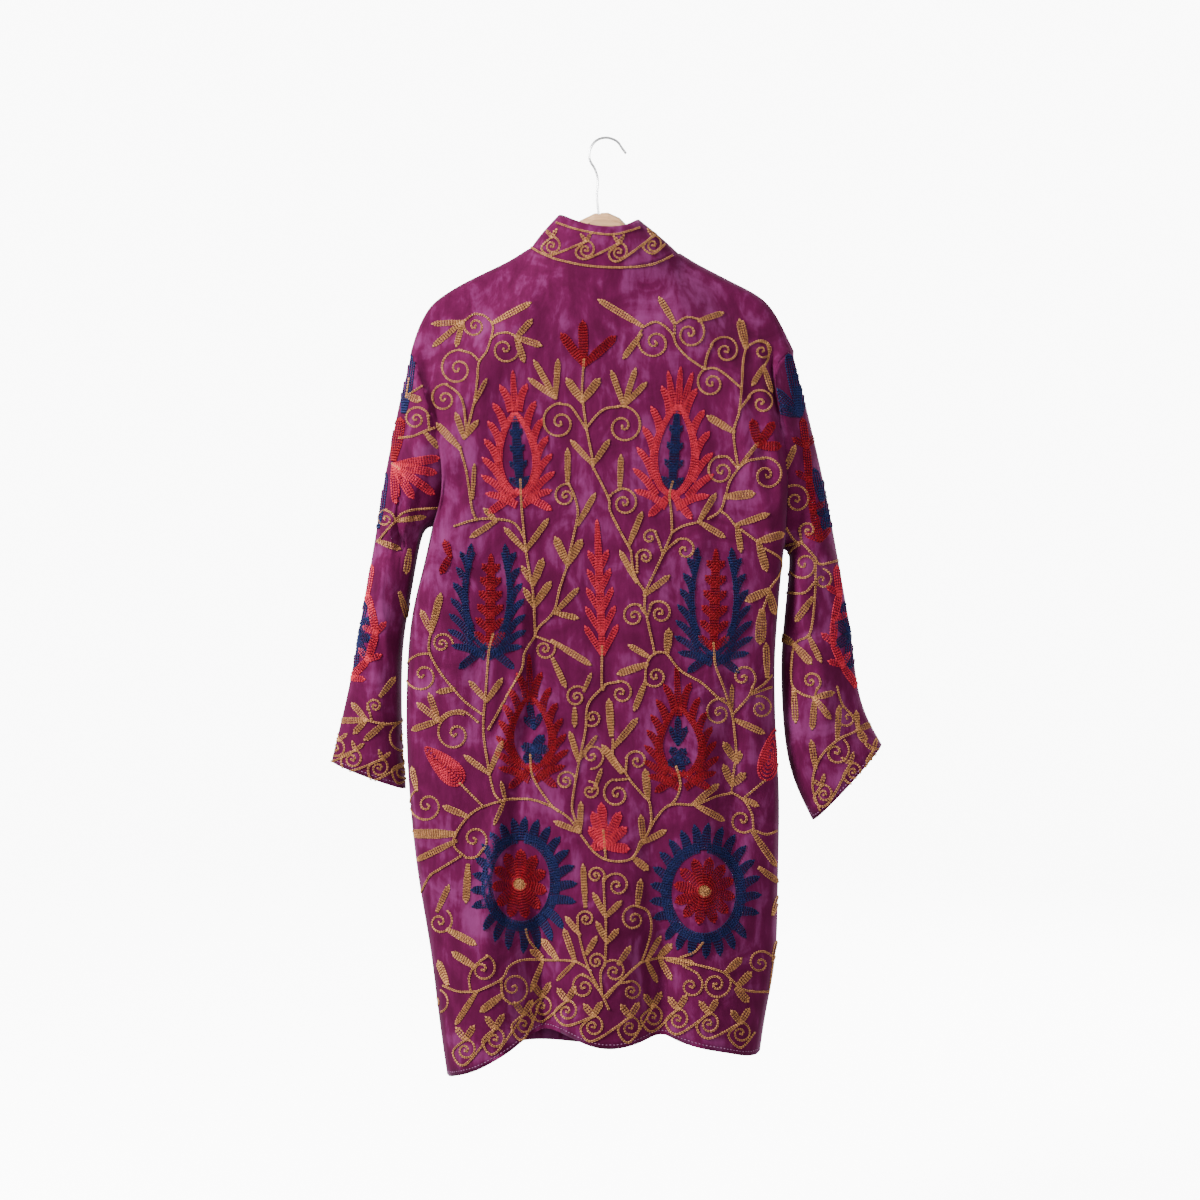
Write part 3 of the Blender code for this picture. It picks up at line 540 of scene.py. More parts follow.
@dataclass
class ClothPiece:
    """One cut piece of the jacket as a thin shell on its solid's form.

    Attributes:
        node: the solid it stands for.
        flat: width and length of the cut piece, in metres; not used.
        area: its flat area, in square metres; not used.
        slot: the name of its material slot; not used.
        round_form: true on a tube, which has a behind and a before of its own.
        rests_on: what it hangs on; not used.
    """

    node: str
    flat: Point
    area: float
    slot: str
    round_form: bool = False
    rests_on: tuple[str, ...] = ("hanger_wood",)
    piece: bpy.types.Object | None = field(default=None, repr=False)

    def build(self, finish: bpy.types.Material, behind: Sequence[Crease],
        before: Sequence[Crease]) -> bpy.types.Object:
        """Build and dress the shell.

        Args:
            finish: the velvet.
            behind: the creases of the jacket's back.
            before: the creases of its front.

        Returns:
            The shell.
        """
        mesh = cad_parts[self.node].data.copy()
        form = bmesh.new()
        form.from_mesh(mesh)
        bmesh.ops.remove_doubles(form, verts=form.verts, dist=1e-5)
        bmesh.ops.join_triangles(
            form, faces=form.faces, angle_face_threshold=math.radians(40.0),
                angle_shape_threshold=math.radians(50.0)
        )
        sharp = form.edges.layers.float.new("crease_edge")
        corner = form.verts.layers.float.new("crease_vert")
        for edge in form.edges:
            if len(edge.link_faces) == 2 and edge.calc_face_angle(0.0) > math.radians(55.0):
                edge[sharp] = 1.0
        for vert in form.verts:
            rims = [edge for edge in vert.link_edges if edge[sharp] > 0.5]
            if len(rims) > 2:
                vert[corner] = 1.0
        if self.round_form:
            for vert in self.armhole_ends(form, sharp):
                vert[corner] = 1.0
        for face in form.faces:
            face.smooth = True
        form.to_mesh(mesh)
        form.free()
        self.piece = add_object(f"velvet_{self.node}", mesh, finish)
        smooth = self.piece.modifiers.new("fall", "SUBSURF")
        smooth.levels = smooth.render_levels = 2
        applied(self.piece)
        self.crease(behind, before)
        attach(self.piece, "root")
        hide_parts(self.node)
        return self.piece

    @staticmethod
    def armhole_ends(form: bmesh.types.BMesh, sharp: bmesh.types.BMLayerItem) -> list[bmesh.types.BMVert]:
        """Give the points of a sleeve's head where the back's seam turns into the front's.

        Args:
            form: the sleeve's mesh.
            sharp: its layer of sharp edges.

        Returns:
            The points at the top of the head and under the arm.
        """
        heights = [vert.co.z for vert in form.verts]
        middle = 0.5 * (max(heights) + min(heights))
        rims = [vert for vert in form.verts if any(edge[sharp] > 0.5 for edge in vert.link_edges)]
        head = [vert for vert in rims if vert.co.z > middle]
        ends = (max(head, key=lambda vert: vert.co.z), min(head, key=lambda vert: vert.co.z))
        return [vert for vert in head if min((vert.co - end.co).length for end in ends) < 0.0035]

    def seam_fade(self, x: numpy.ndarray, z: numpy.ndarray) -> numpy.ndarray:
        """Tell how freely each point of a panel moves, which is not at all at its side seam.

        Args:
            x: the points' places across.
            z: their heights.

        Returns:
            A share for each point, 0 on the seam and 1 away from it.
        """
        free = numpy.ones(len(x))
        if not self.node.startswith(("back", "front")):
            return free
        steps = numpy.floor((z - z.min()) / 0.02).astype(int)
        centres = z.min() + 0.02 * (numpy.arange(steps.max() + 1) + 0.5)
        for side in (1.0, -1.0):
            if self.node == ("front_right" if side > 0.0 else "front_left"):
                continue
            edge = numpy.array([(side * x[steps == step]).max() for step in range(len(centres))])
            away = numpy.interp(z, centres, edge) - side * x
            share = numpy.clip((away - 0.004) / 0.03, 0.0, 1.0)
            free = numpy.minimum(free, share * share * (3.0 - 2.0 * share))
        below = numpy.clip((-0.44 - z) / 0.03, 0.0, 1.0)
        return 1.0 - below * (1.0 - free)

    def crease(self, behind: Sequence[Crease], before: Sequence[Crease]) -> None:
        """Push the shell out and in along its creases.

        Args:
            behind: the creases of the jacket's back.
            before: the creases of its front.
        """
        mesh = self.piece.data
        count = len(mesh.vertices)
        places = numpy.empty(count * 3)
        normals = numpy.empty(count * 3)
        mesh.vertices.foreach_get("co", places)
        mesh.vertex_normals.foreach_get("vector", normals)
        places, normals = places.reshape(-1, 3), normals.reshape(-1, 3)
        x, y, z = places[:, 0], places[:, 1], places[:, 2]
        side = numpy.full(count, -1.0 if self.node.startswith("front") else 1.0)
        if self.round_form:
            steps = numpy.floor((z - z.min()) / 0.02).astype(int)
            middle = numpy.zeros(steps.max() + 1)
            for step in range(len(middle)):
                inside = y[steps == step]
                middle[step] = 0.5 * (inside.max() + inside.min()) if len(inside) else 0.0
            side = numpy.where(y >= middle[steps], 1.0, -1.0)
        rise = numpy.zeros(count)
        for facing, creases in ((1.0, behind), (-1.0, before)):
            heights = sum((crease.at(x, z) for crease in creases), numpy.zeros(count))
            rise += numpy.where(side == facing, heights, 0.0)
        loose = numpy.array([noise.noise((px * 11.0, sign * 3.0, pz * 7.0)) for px, pz, sign in zip(x, z,
            side)])
        ripple = numpy.array([noise.noise((px * 34.0, sign * 5.0, pz * 26.0)) for px, pz, sign in zip(x, z,
            side)])
        low = numpy.clip((-0.12 - z) / 0.08, 0.0, 1.0)
        rise += low * (0.0016 * loose + 0.0007 * ripple)
        places[:, 1] += side * rise * numpy.abs(normals[:, 1]) * self.seam_fade(x, z)
        mesh.vertices.foreach_set("co", places.reshape(-1))
        mesh.update()

    def declare(self, sewn: Sequence[bpy.types.Object]) -> None:
        """Do nothing with the piece.

        Args:
            sewn: the stitches on it; not used.
        """


# The design


def smooth_line(points: Sequence[Point], step: float = 1.3) -> list[Point]:
    """Draw a smooth line through points.

    Args:
        points: the points.
        step: the distance between the line's own points.

    Returns:
        The line.
    """
    if len(points) < 3:
        (ax, ay), (bx, by) = points[0], points[-1]
        count = max(2, round(math.dist(points[0], points[-1]) / step))
        return [(ax + (bx - ax) * i / count, ay + (by - ay) * i / count) for i in range(count + 1)]
    line = []
    padded = [points[0], *points, points[-1]]
    for before, start, end, after in zip(padded, padded[1:], padded[2:], padded[3:]):
        count = max(2, round(math.dist(start, end) / step))
        for i in range(count):
            t = i / count
            weights = (
                -0.5 * t + t * t - 0.5 * t**3,
                1.0 - 2.5 * t * t + 1.5 * t**3,
                0.5 * t + 2.0 * t * t - 1.5 * t**3,
                -0.5 * t * t + 0.5 * t**3,
            )
            four = (before, start, end, after)
            line.append(tuple(sum(w * p[axis] for w, p in zip(weights, four)) for axis in (0, 1)))
    line.append(points[-1])
    return line


@dataclass(frozen=True)
class Row:
    """One row of chain stitch, in pixels of the photo.

    Attributes:
        line: its points.
        thread: its thread.
        width: its width, as a share of a plain row's.
        lift: how far it lies above the cloth, in metres, where it crosses other rows.
    """

    line: list[Point]
    thread: Thread
    width: float = 1.0
    lift: float = 0.00015


class Motif:
    """A part of the design. Each kind draws its own rows."""

    def rows(self) -> list[Row]:
        """Give the rows of stitches."""
        raise NotImplementedError


@dataclass(frozen=True)
class Vine(Motif):
    """A stem in one row."""

    points: tuple[Point, ...]
    thread: Thread = Thread.GOLD

    def rows(self) -> list[Row]:
        """Give the stem's row."""
        return [Row(smooth_line(self.points), self.thread, 1.08, 0.0006)]


@dataclass(frozen=True)
class Curl(Motif):
    """A tendril that winds in from its start to its centre.

    Attributes:
        centre: where it ends.
        start: where it leaves the stem.
        turns: how often it goes round, below nought the other way.
        thread: its thread.
    """

    centre: Point
    start: Point
    turns: float = 1.75
    thread: Thread = Thread.GOLD

    def rows(self) -> list[Row]:
        """Give the tendril's row."""
        (cx, cy), (sx, sy) = self.centre, self.start
        radius = math.dist(self.centre, self.start)
        angle = math.atan2(sy - cy, sx - cx)
        count = max(12, round(radius * abs(self.turns) * 2.6))
        line = []
        for i in range(count + 1):
            share = i / count
            reach = radius * (1.0 - share) ** 1.2 + 0.8
            turn = angle + math.tau * self.turns * share
            line.append((cx + reach * math.cos(turn), cy + reach * math.sin(turn)))
        return [Row(line, self.thread, 1.0)]


@dataclass(frozen=True)
class Blade(Motif):
    """A leaf or petal filled with rows along it.

    Attributes:
        base: where it grows from.
        tip: its end.
        half: half its width.
        bend: how far its middle is pushed aside, as a share of its length.
        taper: how narrow its base is, as a share of its width.
        point: the share of its length that its tip takes.
    """

    base: Point
    tip: Point
    half: float = 3.3
    thread: Thread = Thread.GOLD
    bend: float = 0.0
    taper: float = 0.45
    point: float = 0.22

    def rows(self) -> list[Row]:
        """Give the blade's rows, side by side and drawn together at its ends."""
        (bx, by), (tx, ty) = self.base, self.tip
        length = math.dist(self.base, self.tip)
        ux, uy = (tx - bx) / length, (ty - by) / length
        rows = []
        many = max(1, round(2.0 * self.half / ROW_PITCH))
        count = max(4, round(length / 1.4))
        for row in range(many):
            share = (2.0 * row + 1.0) / many - 1.0
            line = []
            for i in range(count + 1):
                t = i / count
                width = self.half * min(1.0, self.taper + (1.0 - self.taper) * t / 0.4)
                if t > 1.0 - self.point:
                    width *= math.sqrt(max(0.0,
                        1.0 - ((t - 1.0 + self.point) / self.point) ** 2)) * 0.85 + 0.15
                aside = share * width + self.bend * length * math.sin(math.pi * t)
                reach = (length - 0.35 * ROW_PITCH * abs(share)) * t
                line.append((bx + ux * reach - uy * aside, by + uy * reach + ux * aside))
            rows.append(Row(line if row % 2 else line[::-1], self.thread, 0.86))
        return rows


@dataclass(frozen=True)
class Fan(Motif):
    """Blades from one base, such as a pair of leaves or an open flower."""

    base: Point
    tips: tuple[Point, ...]
    half: float = 3.3
    thread: Thread = Thread.GOLD

    def rows(self) -> list[Row]:
        """Give the rows of all the blades."""
        return [row for tip in self.tips for row in Blade(self.base, tip, self.half, self.thread).rows()]


@dataclass(frozen=True)
class Flame(Motif):
    """A thick band round an almond, with feathers standing up along its outer side.

    Attributes:
        foot: the almond's lowest point.
        top: its highest.
        half: half its width.
        thread: the thread.
        spread: how far the tips stand from the axis, at the foot and at the top.
        rise: how far up the tips go, as a share of the almond's length.
        feathers: how many to a side.
        lean: the lowest feather's angle from the axis and the others', in degrees.
        shut: 1 where the band closes at the top, less where it stays open.
        spears: the lengths of the feathers at the top, from left to right.
        skirt: how far the two petals at the foot reach, across and down.
        lanes: the rows in the band.
    """

    foot: Point
    top: Point
    half: float
    thread: Thread
    spread: Point = (32.0, 13.0)
    rise: float = 1.36
    feathers: int = 7
    lean: Point = (66.0, 34.0)
    shut: float = 1.0
    spears: tuple[float, ...] = (42.0,)
    skirt: Point = (30.0, 18.0)
    lanes: int = 4

    def place(self, along: float, aside: float) -> Point:
        """Give the point that lies so far along the almond's axis and so far beside it."""
        (fx, fy), (tx, ty) = self.foot, self.top
        length = math.dist(self.foot, self.top)
        ux, uy = (tx - fx) / length, (ty - fy) / length
        return fx + ux * along - uy * aside, fy + uy * along + ux * aside

    def edge(self, share: float) -> float:
        """Give half the almond's width at a share of its length."""
        if not 0.0 < share < 1.0:
            return 0.0
        return self.half * math.sin(math.pi * self.shut * share**0.8) ** 0.85

    def rows(self) -> list[Row]:
        """Give the band's rows and the feathers' rows."""
        rows = []
        length = math.dist(self.foot, self.top)
        for side in (-1.0, 1.0):
            for lane in range(self.lanes):
                out = (lane + 0.5) * ROW_PITCH
                steps = [i / 26.0 for i in range(27)]
                line = [self.place(length * t,
                    side * (self.edge(t) + out * (1.0 - 0.55 * t**3))) for t in steps]
                rows.append(Row(line, self.thread))
            for i in range(self.feathers):
                rows += self.feather(side, i / (self.feathers - 1.0), length)
            across, down = self.skirt
            if across:
                rows += Blade(self.place(3.0, -2.0 * side), self.place(-down, side * across), 4.2,
                    self.thread).rows()
            if self.shut < 1.0:
                arm = self.place(length * 0.8, side * (self.edge(0.8) + ROW_PITCH * 1.5))
                rows += Blade(arm, self.place(length * 1.05, side * 17.0), 3.6, self.thread, point=0.4).rows()
        middle = 0.5 * (len(self.spears) - 1)
        for index, reach in enumerate(self.spears):
            aside = index - middle
            tip = self.place(length + reach, aside * 12.0)
            rows += Blade(self.place(length - 7.0, aside * 3.0), tip, 3.6, self.thread, taper=1.1,
                point=0.5).rows()
        return rows

    def feather(self, side: float, share: float, length: float) -> list[Row]:
        """Give one feather's rows, from its tip back to the middle of the band.

        Args:
            side: -1 or 1.
            share: 0 for the lowest feather, 1 for the highest.
            length: the almond's length.

        Returns:
            The rows.
        """
        low, high = self.spread
        along = length * self.rise * (0.01 + 0.99 * share)
        aside = high + (low - high) * (1.0 - share**2.2) - 4.0 * (share < 0.05)
        first, last = self.lean
        turn = math.radians(last + (first - last) * (1.0 - share) ** 4 - 14.0 * share)
        reach = 12.0
        while reach < 34.0:
            back = along - reach * math.cos(turn)
            inner = aside - reach * math.sin(turn)
            if inner <= self.edge(back / length) + 0.5 * self.lanes * ROW_PITCH:
                break
            reach += 1.0
        base = self.place(back, side * max(inner, 1.5))
        return Blade(base, self.place(along, side * aside), 3.9, self.thread, bend=-0.06 * side, taper=1.15,
            point=0.2).rows()


@dataclass(frozen=True)
class Wreath(Motif):
    """A band round an egg, with feathers all round it.

    Attributes:
        centre: the egg's middle.
        inner: half its width and half its height.
        thread: the thread.
        feathers: how many in all.
        reach: how far they stand out to the left, to the right, at the top and at the foot.
        lanes: the rows in the band.
    """

    centre: Point
    inner: Point
    thread: Thread
    feathers: int
    reach: tuple[float, float, float, float]
    lanes: int = 5

    def rows(self) -> list[Row]:
        """Give the band's rows and the feathers' rows."""
        cx, cy = self.centre
        wide, tall = self.inner
        rows = []
        for lane in range(self.lanes):
            out = (lane + 0.5) * ROW_PITCH
            line = []
            for i in range(65):
                turn = math.tau * (i + 1.5) / 67.0
                line.append((cx + (wide + out) * math.sin(turn), cy - (tall + out) * math.cos(turn)))
            rows.append(Row(line, self.thread))
        left, right, top, foot = self.reach
        for index in range(self.feathers):
            turn = math.tau * (index + 0.35) / self.feathers
            across, up = math.sin(turn), math.cos(turn)
            reach = abs(across) * (right if across > 0.0 else left) + abs(up) * (top if up > 0.0 else foot)
            reach /= abs(across) + abs(up)
            aim = turn - math.radians(24.0) * math.sin(turn) * (1.0 if up > -0.5 else -0.3)
            out = 0.4 * self.lanes * ROW_PITCH
            base = (cx + (wide + out) * across, cy - (tall + out) * up)
            tip = (base[0] + reach * math.sin(aim), base[1] - reach * math.cos(aim))
            bend = -0.06 if across > 0.0 else 0.06
            rows += Blade(base, tip, 4.8, self.thread, bend=bend, taper=1.2, point=0.3).rows()
        return rows


@dataclass(frozen=True)
class Branch(Motif):
    """A leafy branch: blades end to end with shorter lobes off them.

    Attributes:
        points: the branch's points, from its tip down.
        thread: the thread.
        lobes: for each lobe, the number of the point that it grows from.
        half: half a blade's width.
        reach: a lobe's length.
    """

    points: tuple[Point, ...]
    thread: Thread
    lobes: tuple[int, ...]
    half: float = 4.0
    reach: float = 14.0

    def rows(self) -> list[Row]:
        """Give the rows of the blades and the lobes."""
        rows = []
        for upper, lower in zip(self.points, self.points[1:]):
            rows += Blade(lower, upper, self.half, self.thread, taper=0.8).rows()
        for order, index in enumerate(self.lobes):
            (px, py), (qx, qy) = self.points[index], self.points[index - 1]
            turn = math.atan2(qy - py, qx - px) + math.radians(52.0 if order % 2 else -52.0)
            tip = (px + self.reach * math.cos(turn), py + self.reach * math.sin(turn))
            rows += Blade((px, py), tip, self.half * 0.85, self.thread, taper=0.8).rows()
        return rows


@dataclass(frozen=True)
class Spike(Motif):
    """A leaf with lobes in pairs up its axis.

    Attributes:
        base: its foot.
        tip: its top.
        half: half the width of its body.
        pairs: how many pairs of lobes.
        reach: the lowest lobes' length.
        angle: their angle from the axis, in degrees.
        lobe: half a lobe's width.
    """

    base: Point
    tip: Point
    thread: Thread
    half: float = 5.0
    pairs: int = 4
    reach: float = 12.0
    angle: float = 42.0
    lobe: float = 2.6
    highest: float = 0.72

    def rows(self) -> list[Row]:
        """Give the rows of the body and the lobes."""
        (bx, by), (tx, ty) = self.base, self.tip
        rows = Blade(self.base, self.tip, self.half, self.thread, point=0.7, taper=0.6).rows()
        axis = math.atan2(ty - by, tx - bx)
        for pair in range(self.pairs):
            share = self.highest * pair / max(1, self.pairs - 1)
            foot = (bx + (tx - bx) * share, by + (ty - by) * share)
            reach = self.reach * (1.0 - 0.5 * share)
            for side in (-1.0, 1.0):
                turn = axis + side * math.radians(self.angle - 8.0 * share)
                end = (foot[0] + reach * math.cos(turn), foot[1] + reach * math.sin(turn))
                rows += Blade(foot, end, self.lobe, self.thread, taper=0.8).rows()
        return rows


@dataclass(frozen=True)
class Bud(Motif):
    """A drop filled with rings of stitches.

    Attributes:
        base: the round end.
        tip: the pointed end.
        half: half its width.
    """

    base: Point
    tip: Point
    half: float
    thread: Thread

    def rows(self) -> list[Row]:
        """Give the drop's rings, from its edge to its middle."""
        (bx, by), (tx, ty) = self.base, self.tip
        length = math.dist(self.base, self.tip)
        ux, uy = (tx - bx) / length, (ty - by) / length
        rows = []
        rings = max(1, int(self.half / ROW_PITCH))
        for ring in range(rings + 1):
            share = 1.0 - (ring + 0.5) / (rings + 0.7)
            line = []
            for i in range(41):
                turn = math.tau * i / 40.0
                along = 0.5 - 0.5 * math.cos(turn)
                width = 1.15 * self.half * math.sin(turn) * (1.0 - 0.68 * along)
                reach = length * (0.42 + (along - 0.42) * share)
                line.append((bx + ux * reach - uy * width * share, by + uy * reach + ux * width * share))
            rows.append(Row(line, self.thread, 1.0))
        return rows


@dataclass(frozen=True)
class Rosette(Motif):
    """A round flower with an eye.

    Attributes:
        centre: its middle.
        across: its radius from side to side.
        up: its radius up and down.
        petals: how many.
    """

    centre: Point
    across: float
    up: float
    thread: Thread
    eye: Thread = Thread.GOLD
    petals: int = 11
    eye_radius: float = 6.5

    def rows(self) -> list[Row]:
        """Give the petals' rows and the eye's."""
        cx, cy = self.centre
        rows = []
        half = 0.86 * math.pi * 0.62 * 0.5 * (self.across + self.up) / self.petals
        for petal in range(self.petals):
            turn = math.tau * (petal + 0.35) / self.petals
            ex, ey = math.cos(turn), math.sin(turn)
            base = (cx + ex * self.eye_radius, cy + ey * self.eye_radius)
            tip = (cx + ex * self.across, cy + ey * self.up)
            rows += Blade(base, tip, half * 1.25, self.thread, taper=0.42, point=0.3).rows()
        rows += Curl(self.centre, (cx + self.eye_radius - 1.0, cy), 3.0, self.eye).rows()
        return rows


@dataclass(frozen=True)
class Border(Motif):
    """Curls in a row, each with two leaves, tied by a scalloped line.

    Attributes:
        centres: the curls' centres, in order.
        up: the direction in which the leaves stand.
        radius: the curls' radius.
        leaf: the leaves' length.
    """

    centres: tuple[Point, ...]
    up: Point = (0.0, -1.0)
    radius: float = 9.0
    leaf: float = 17.0
    drop: float = 14.5

    def rows(self) -> list[Row]:
        """Give the rows of the whole border."""
        rows = []
        ux, uy = self.up
        ax, ay = -uy, ux
        tops = [(cx + ux * self.radius * 1.15, cy + uy * self.radius * 1.15) for cx, cy in self.centres]
        for index, ((cx, cy), top) in enumerate(zip(self.centres, tops)):
            rows += Curl((cx, cy), top, 1.6).rows()
            for lean, share in ((-0.75, 0.85), (0.62, 1.0)):
                reach = self.leaf * share
                tip = (top[0] + (ux + ax * lean) * reach * 0.8, top[1] + (uy + ay * lean) * reach * 0.8)
                rows += Blade(top, tip, 0.21 * self.leaf, Thread.GOLD, taper=0.6).rows()
            low = (cx - ux * self.drop, cy - uy * self.drop)
            left = (cx - ax * self.radius * 1.35, cy - ay * self.radius * 1.35 + 2.0)
            if index + 1 < len(tops):
                rows += Vine((top, left, low, tops[index + 1])).rows()
            else:
                right = (cx + ax * self.radius * 1.5, cy + ay * self.radius * 1.5)
                rows += Vine((top, left, low, right)).rows()
        return rows


def pairs(*tables: Iterable) -> list:
    """Put tables in one list."""
    return [item for table in tables for item in table]


def vines(*lines: tuple[Point, ...]) -> list[Motif]:
    """Make stems from their points."""
    return [Vine(line) for line in lines]


def curls(*table: tuple[float, float, float, float, float]) -> list[Motif]:
    """Make tendrils from rows of centre, start and turns."""
    return [Curl((cx, cy), (sx, sy), turns) for cx, cy, sx, sy, turns in table]


def leaves(*table: tuple[float, ...]) -> list[Motif]:
    """Make leaves from rows of base, tip and, where it isn't 3.1, half width."""
    return [Blade(tuple(row[:2]), tuple(row[2:4]), row[4] if len(row) > 4 else 3.1) for row in table]


# The tables below were read off the photo, in its pixels. The flowers' shapes are worked
# out from their places and sizes. The stems, tendrils and leaves follow the photo's own, which
# is tracing: an open fault, and not an example to follow.


def back_flowers() -> list[Motif]:
    """Give the coloured flowers of the back."""
    coral, navy, red = Thread.CORAL, Thread.NAVY, Thread.RED
    open_lean = (72.0, 40.0)
    return [
        Fan((584, 365), ((561.6, 334), (582.6, 321.4), (615, 336.7)), 4.8, red),
        Fan((758.2, 445.6), ((752.4, 420), (773.5, 422.7), (780.5, 446.3)), 4.8, red),
        Fan((450, 556), ((445, 541), (441, 573)), 4.0, red),
        Flame((519, 493), (515, 414), 15.0, coral, (36, 13), skirt=(31.0, 18.0)),
        Spike((520, 487), (515, 417), navy, 5.2, 4, 13.0, 44.0, 3.6),
        Flame((672, 494), (678, 406), 16.5, coral, (40, 17), 1.2, 6, spears=(33.0, 38.0, 33.0), skirt=(21.0,
            23.0)),
        Spike((672, 488), (677, 412), navy, 5.2, 4, 14.0, 44.0, 3.6),
        Spike((602.5, 654), (597, 521), coral, 4.4, 5, 32.0, 30.0, 3.4, 0.62),
        Flame((487, 647), (488, 550), 19.5, navy, (38, 27), 0.97, 7, open_lean, 0.80, (), (27.0, 21.0), 3),
        Spike((489.5, 645), (491, 555), red, 5.4, 6, 19.0, 50.0, 3.8, 0.8),
        Flame((713.5, 653.7), (714.5, 554), 19.5, navy, (38, 26), 0.95, 7, open_lean, 0.80, (), (25.0,
            18.0), 3),
        Spike((713.5, 649), (716, 550), red, 5.4, 6, 19.0, 50.0, 3.8, 0.8),
        Flame((532, 768), (530, 697), 17.0, red, (36, 12), 1.33, 7, skirt=(23.0, 19.0)),
        Fan((534, 728), ((529, 703.5), (541, 714), (525, 718)), 3.6, navy),
        Fan((533, 748), ((543, 736), (548.4, 750), (539.5, 762), (525.5, 762), (522.3, 746.6)), 4.8, navy),
        Flame((682, 775), (678.5, 708), 17.5, red, (37, 13), 1.35, 7, skirt=(27.0, 15.0)),
        Fan((677.8, 744), ((677.8, 717.6), (670.8, 727.8), (686, 727.8)), 3.6, navy),
        Fan((678, 758), ((671.4, 748), (684.8, 749.5), (689.3, 762), (681.6, 771), (668.9, 764.8)), 4.6,
            navy),
        Bud((463, 784), (424, 746), 14.5, coral),
        Bud((764.5, 782), (775.4, 726.5), 12.5, coral),
        Fan((604, 846), ((601.4, 804), (619.8, 813), (626, 828), (628.8, 849), (592, 846), (590, 828), (593,
            813)), 4.9, coral),
        Wreath((521, 882), (29.0, 39.0), navy, 23, (15.0, 22.0, 21.0, 27.0)),
        Rosette((519.5, 884), 27.0, 34.0, red),
        Wreath((703.5, 893), (32.0, 40.0), navy, 23, (17.0, 22.0, 25.0, 20.0)),
        Rosette((704.3, 891), 30.0, 33.0, red, petals=12),
    ]


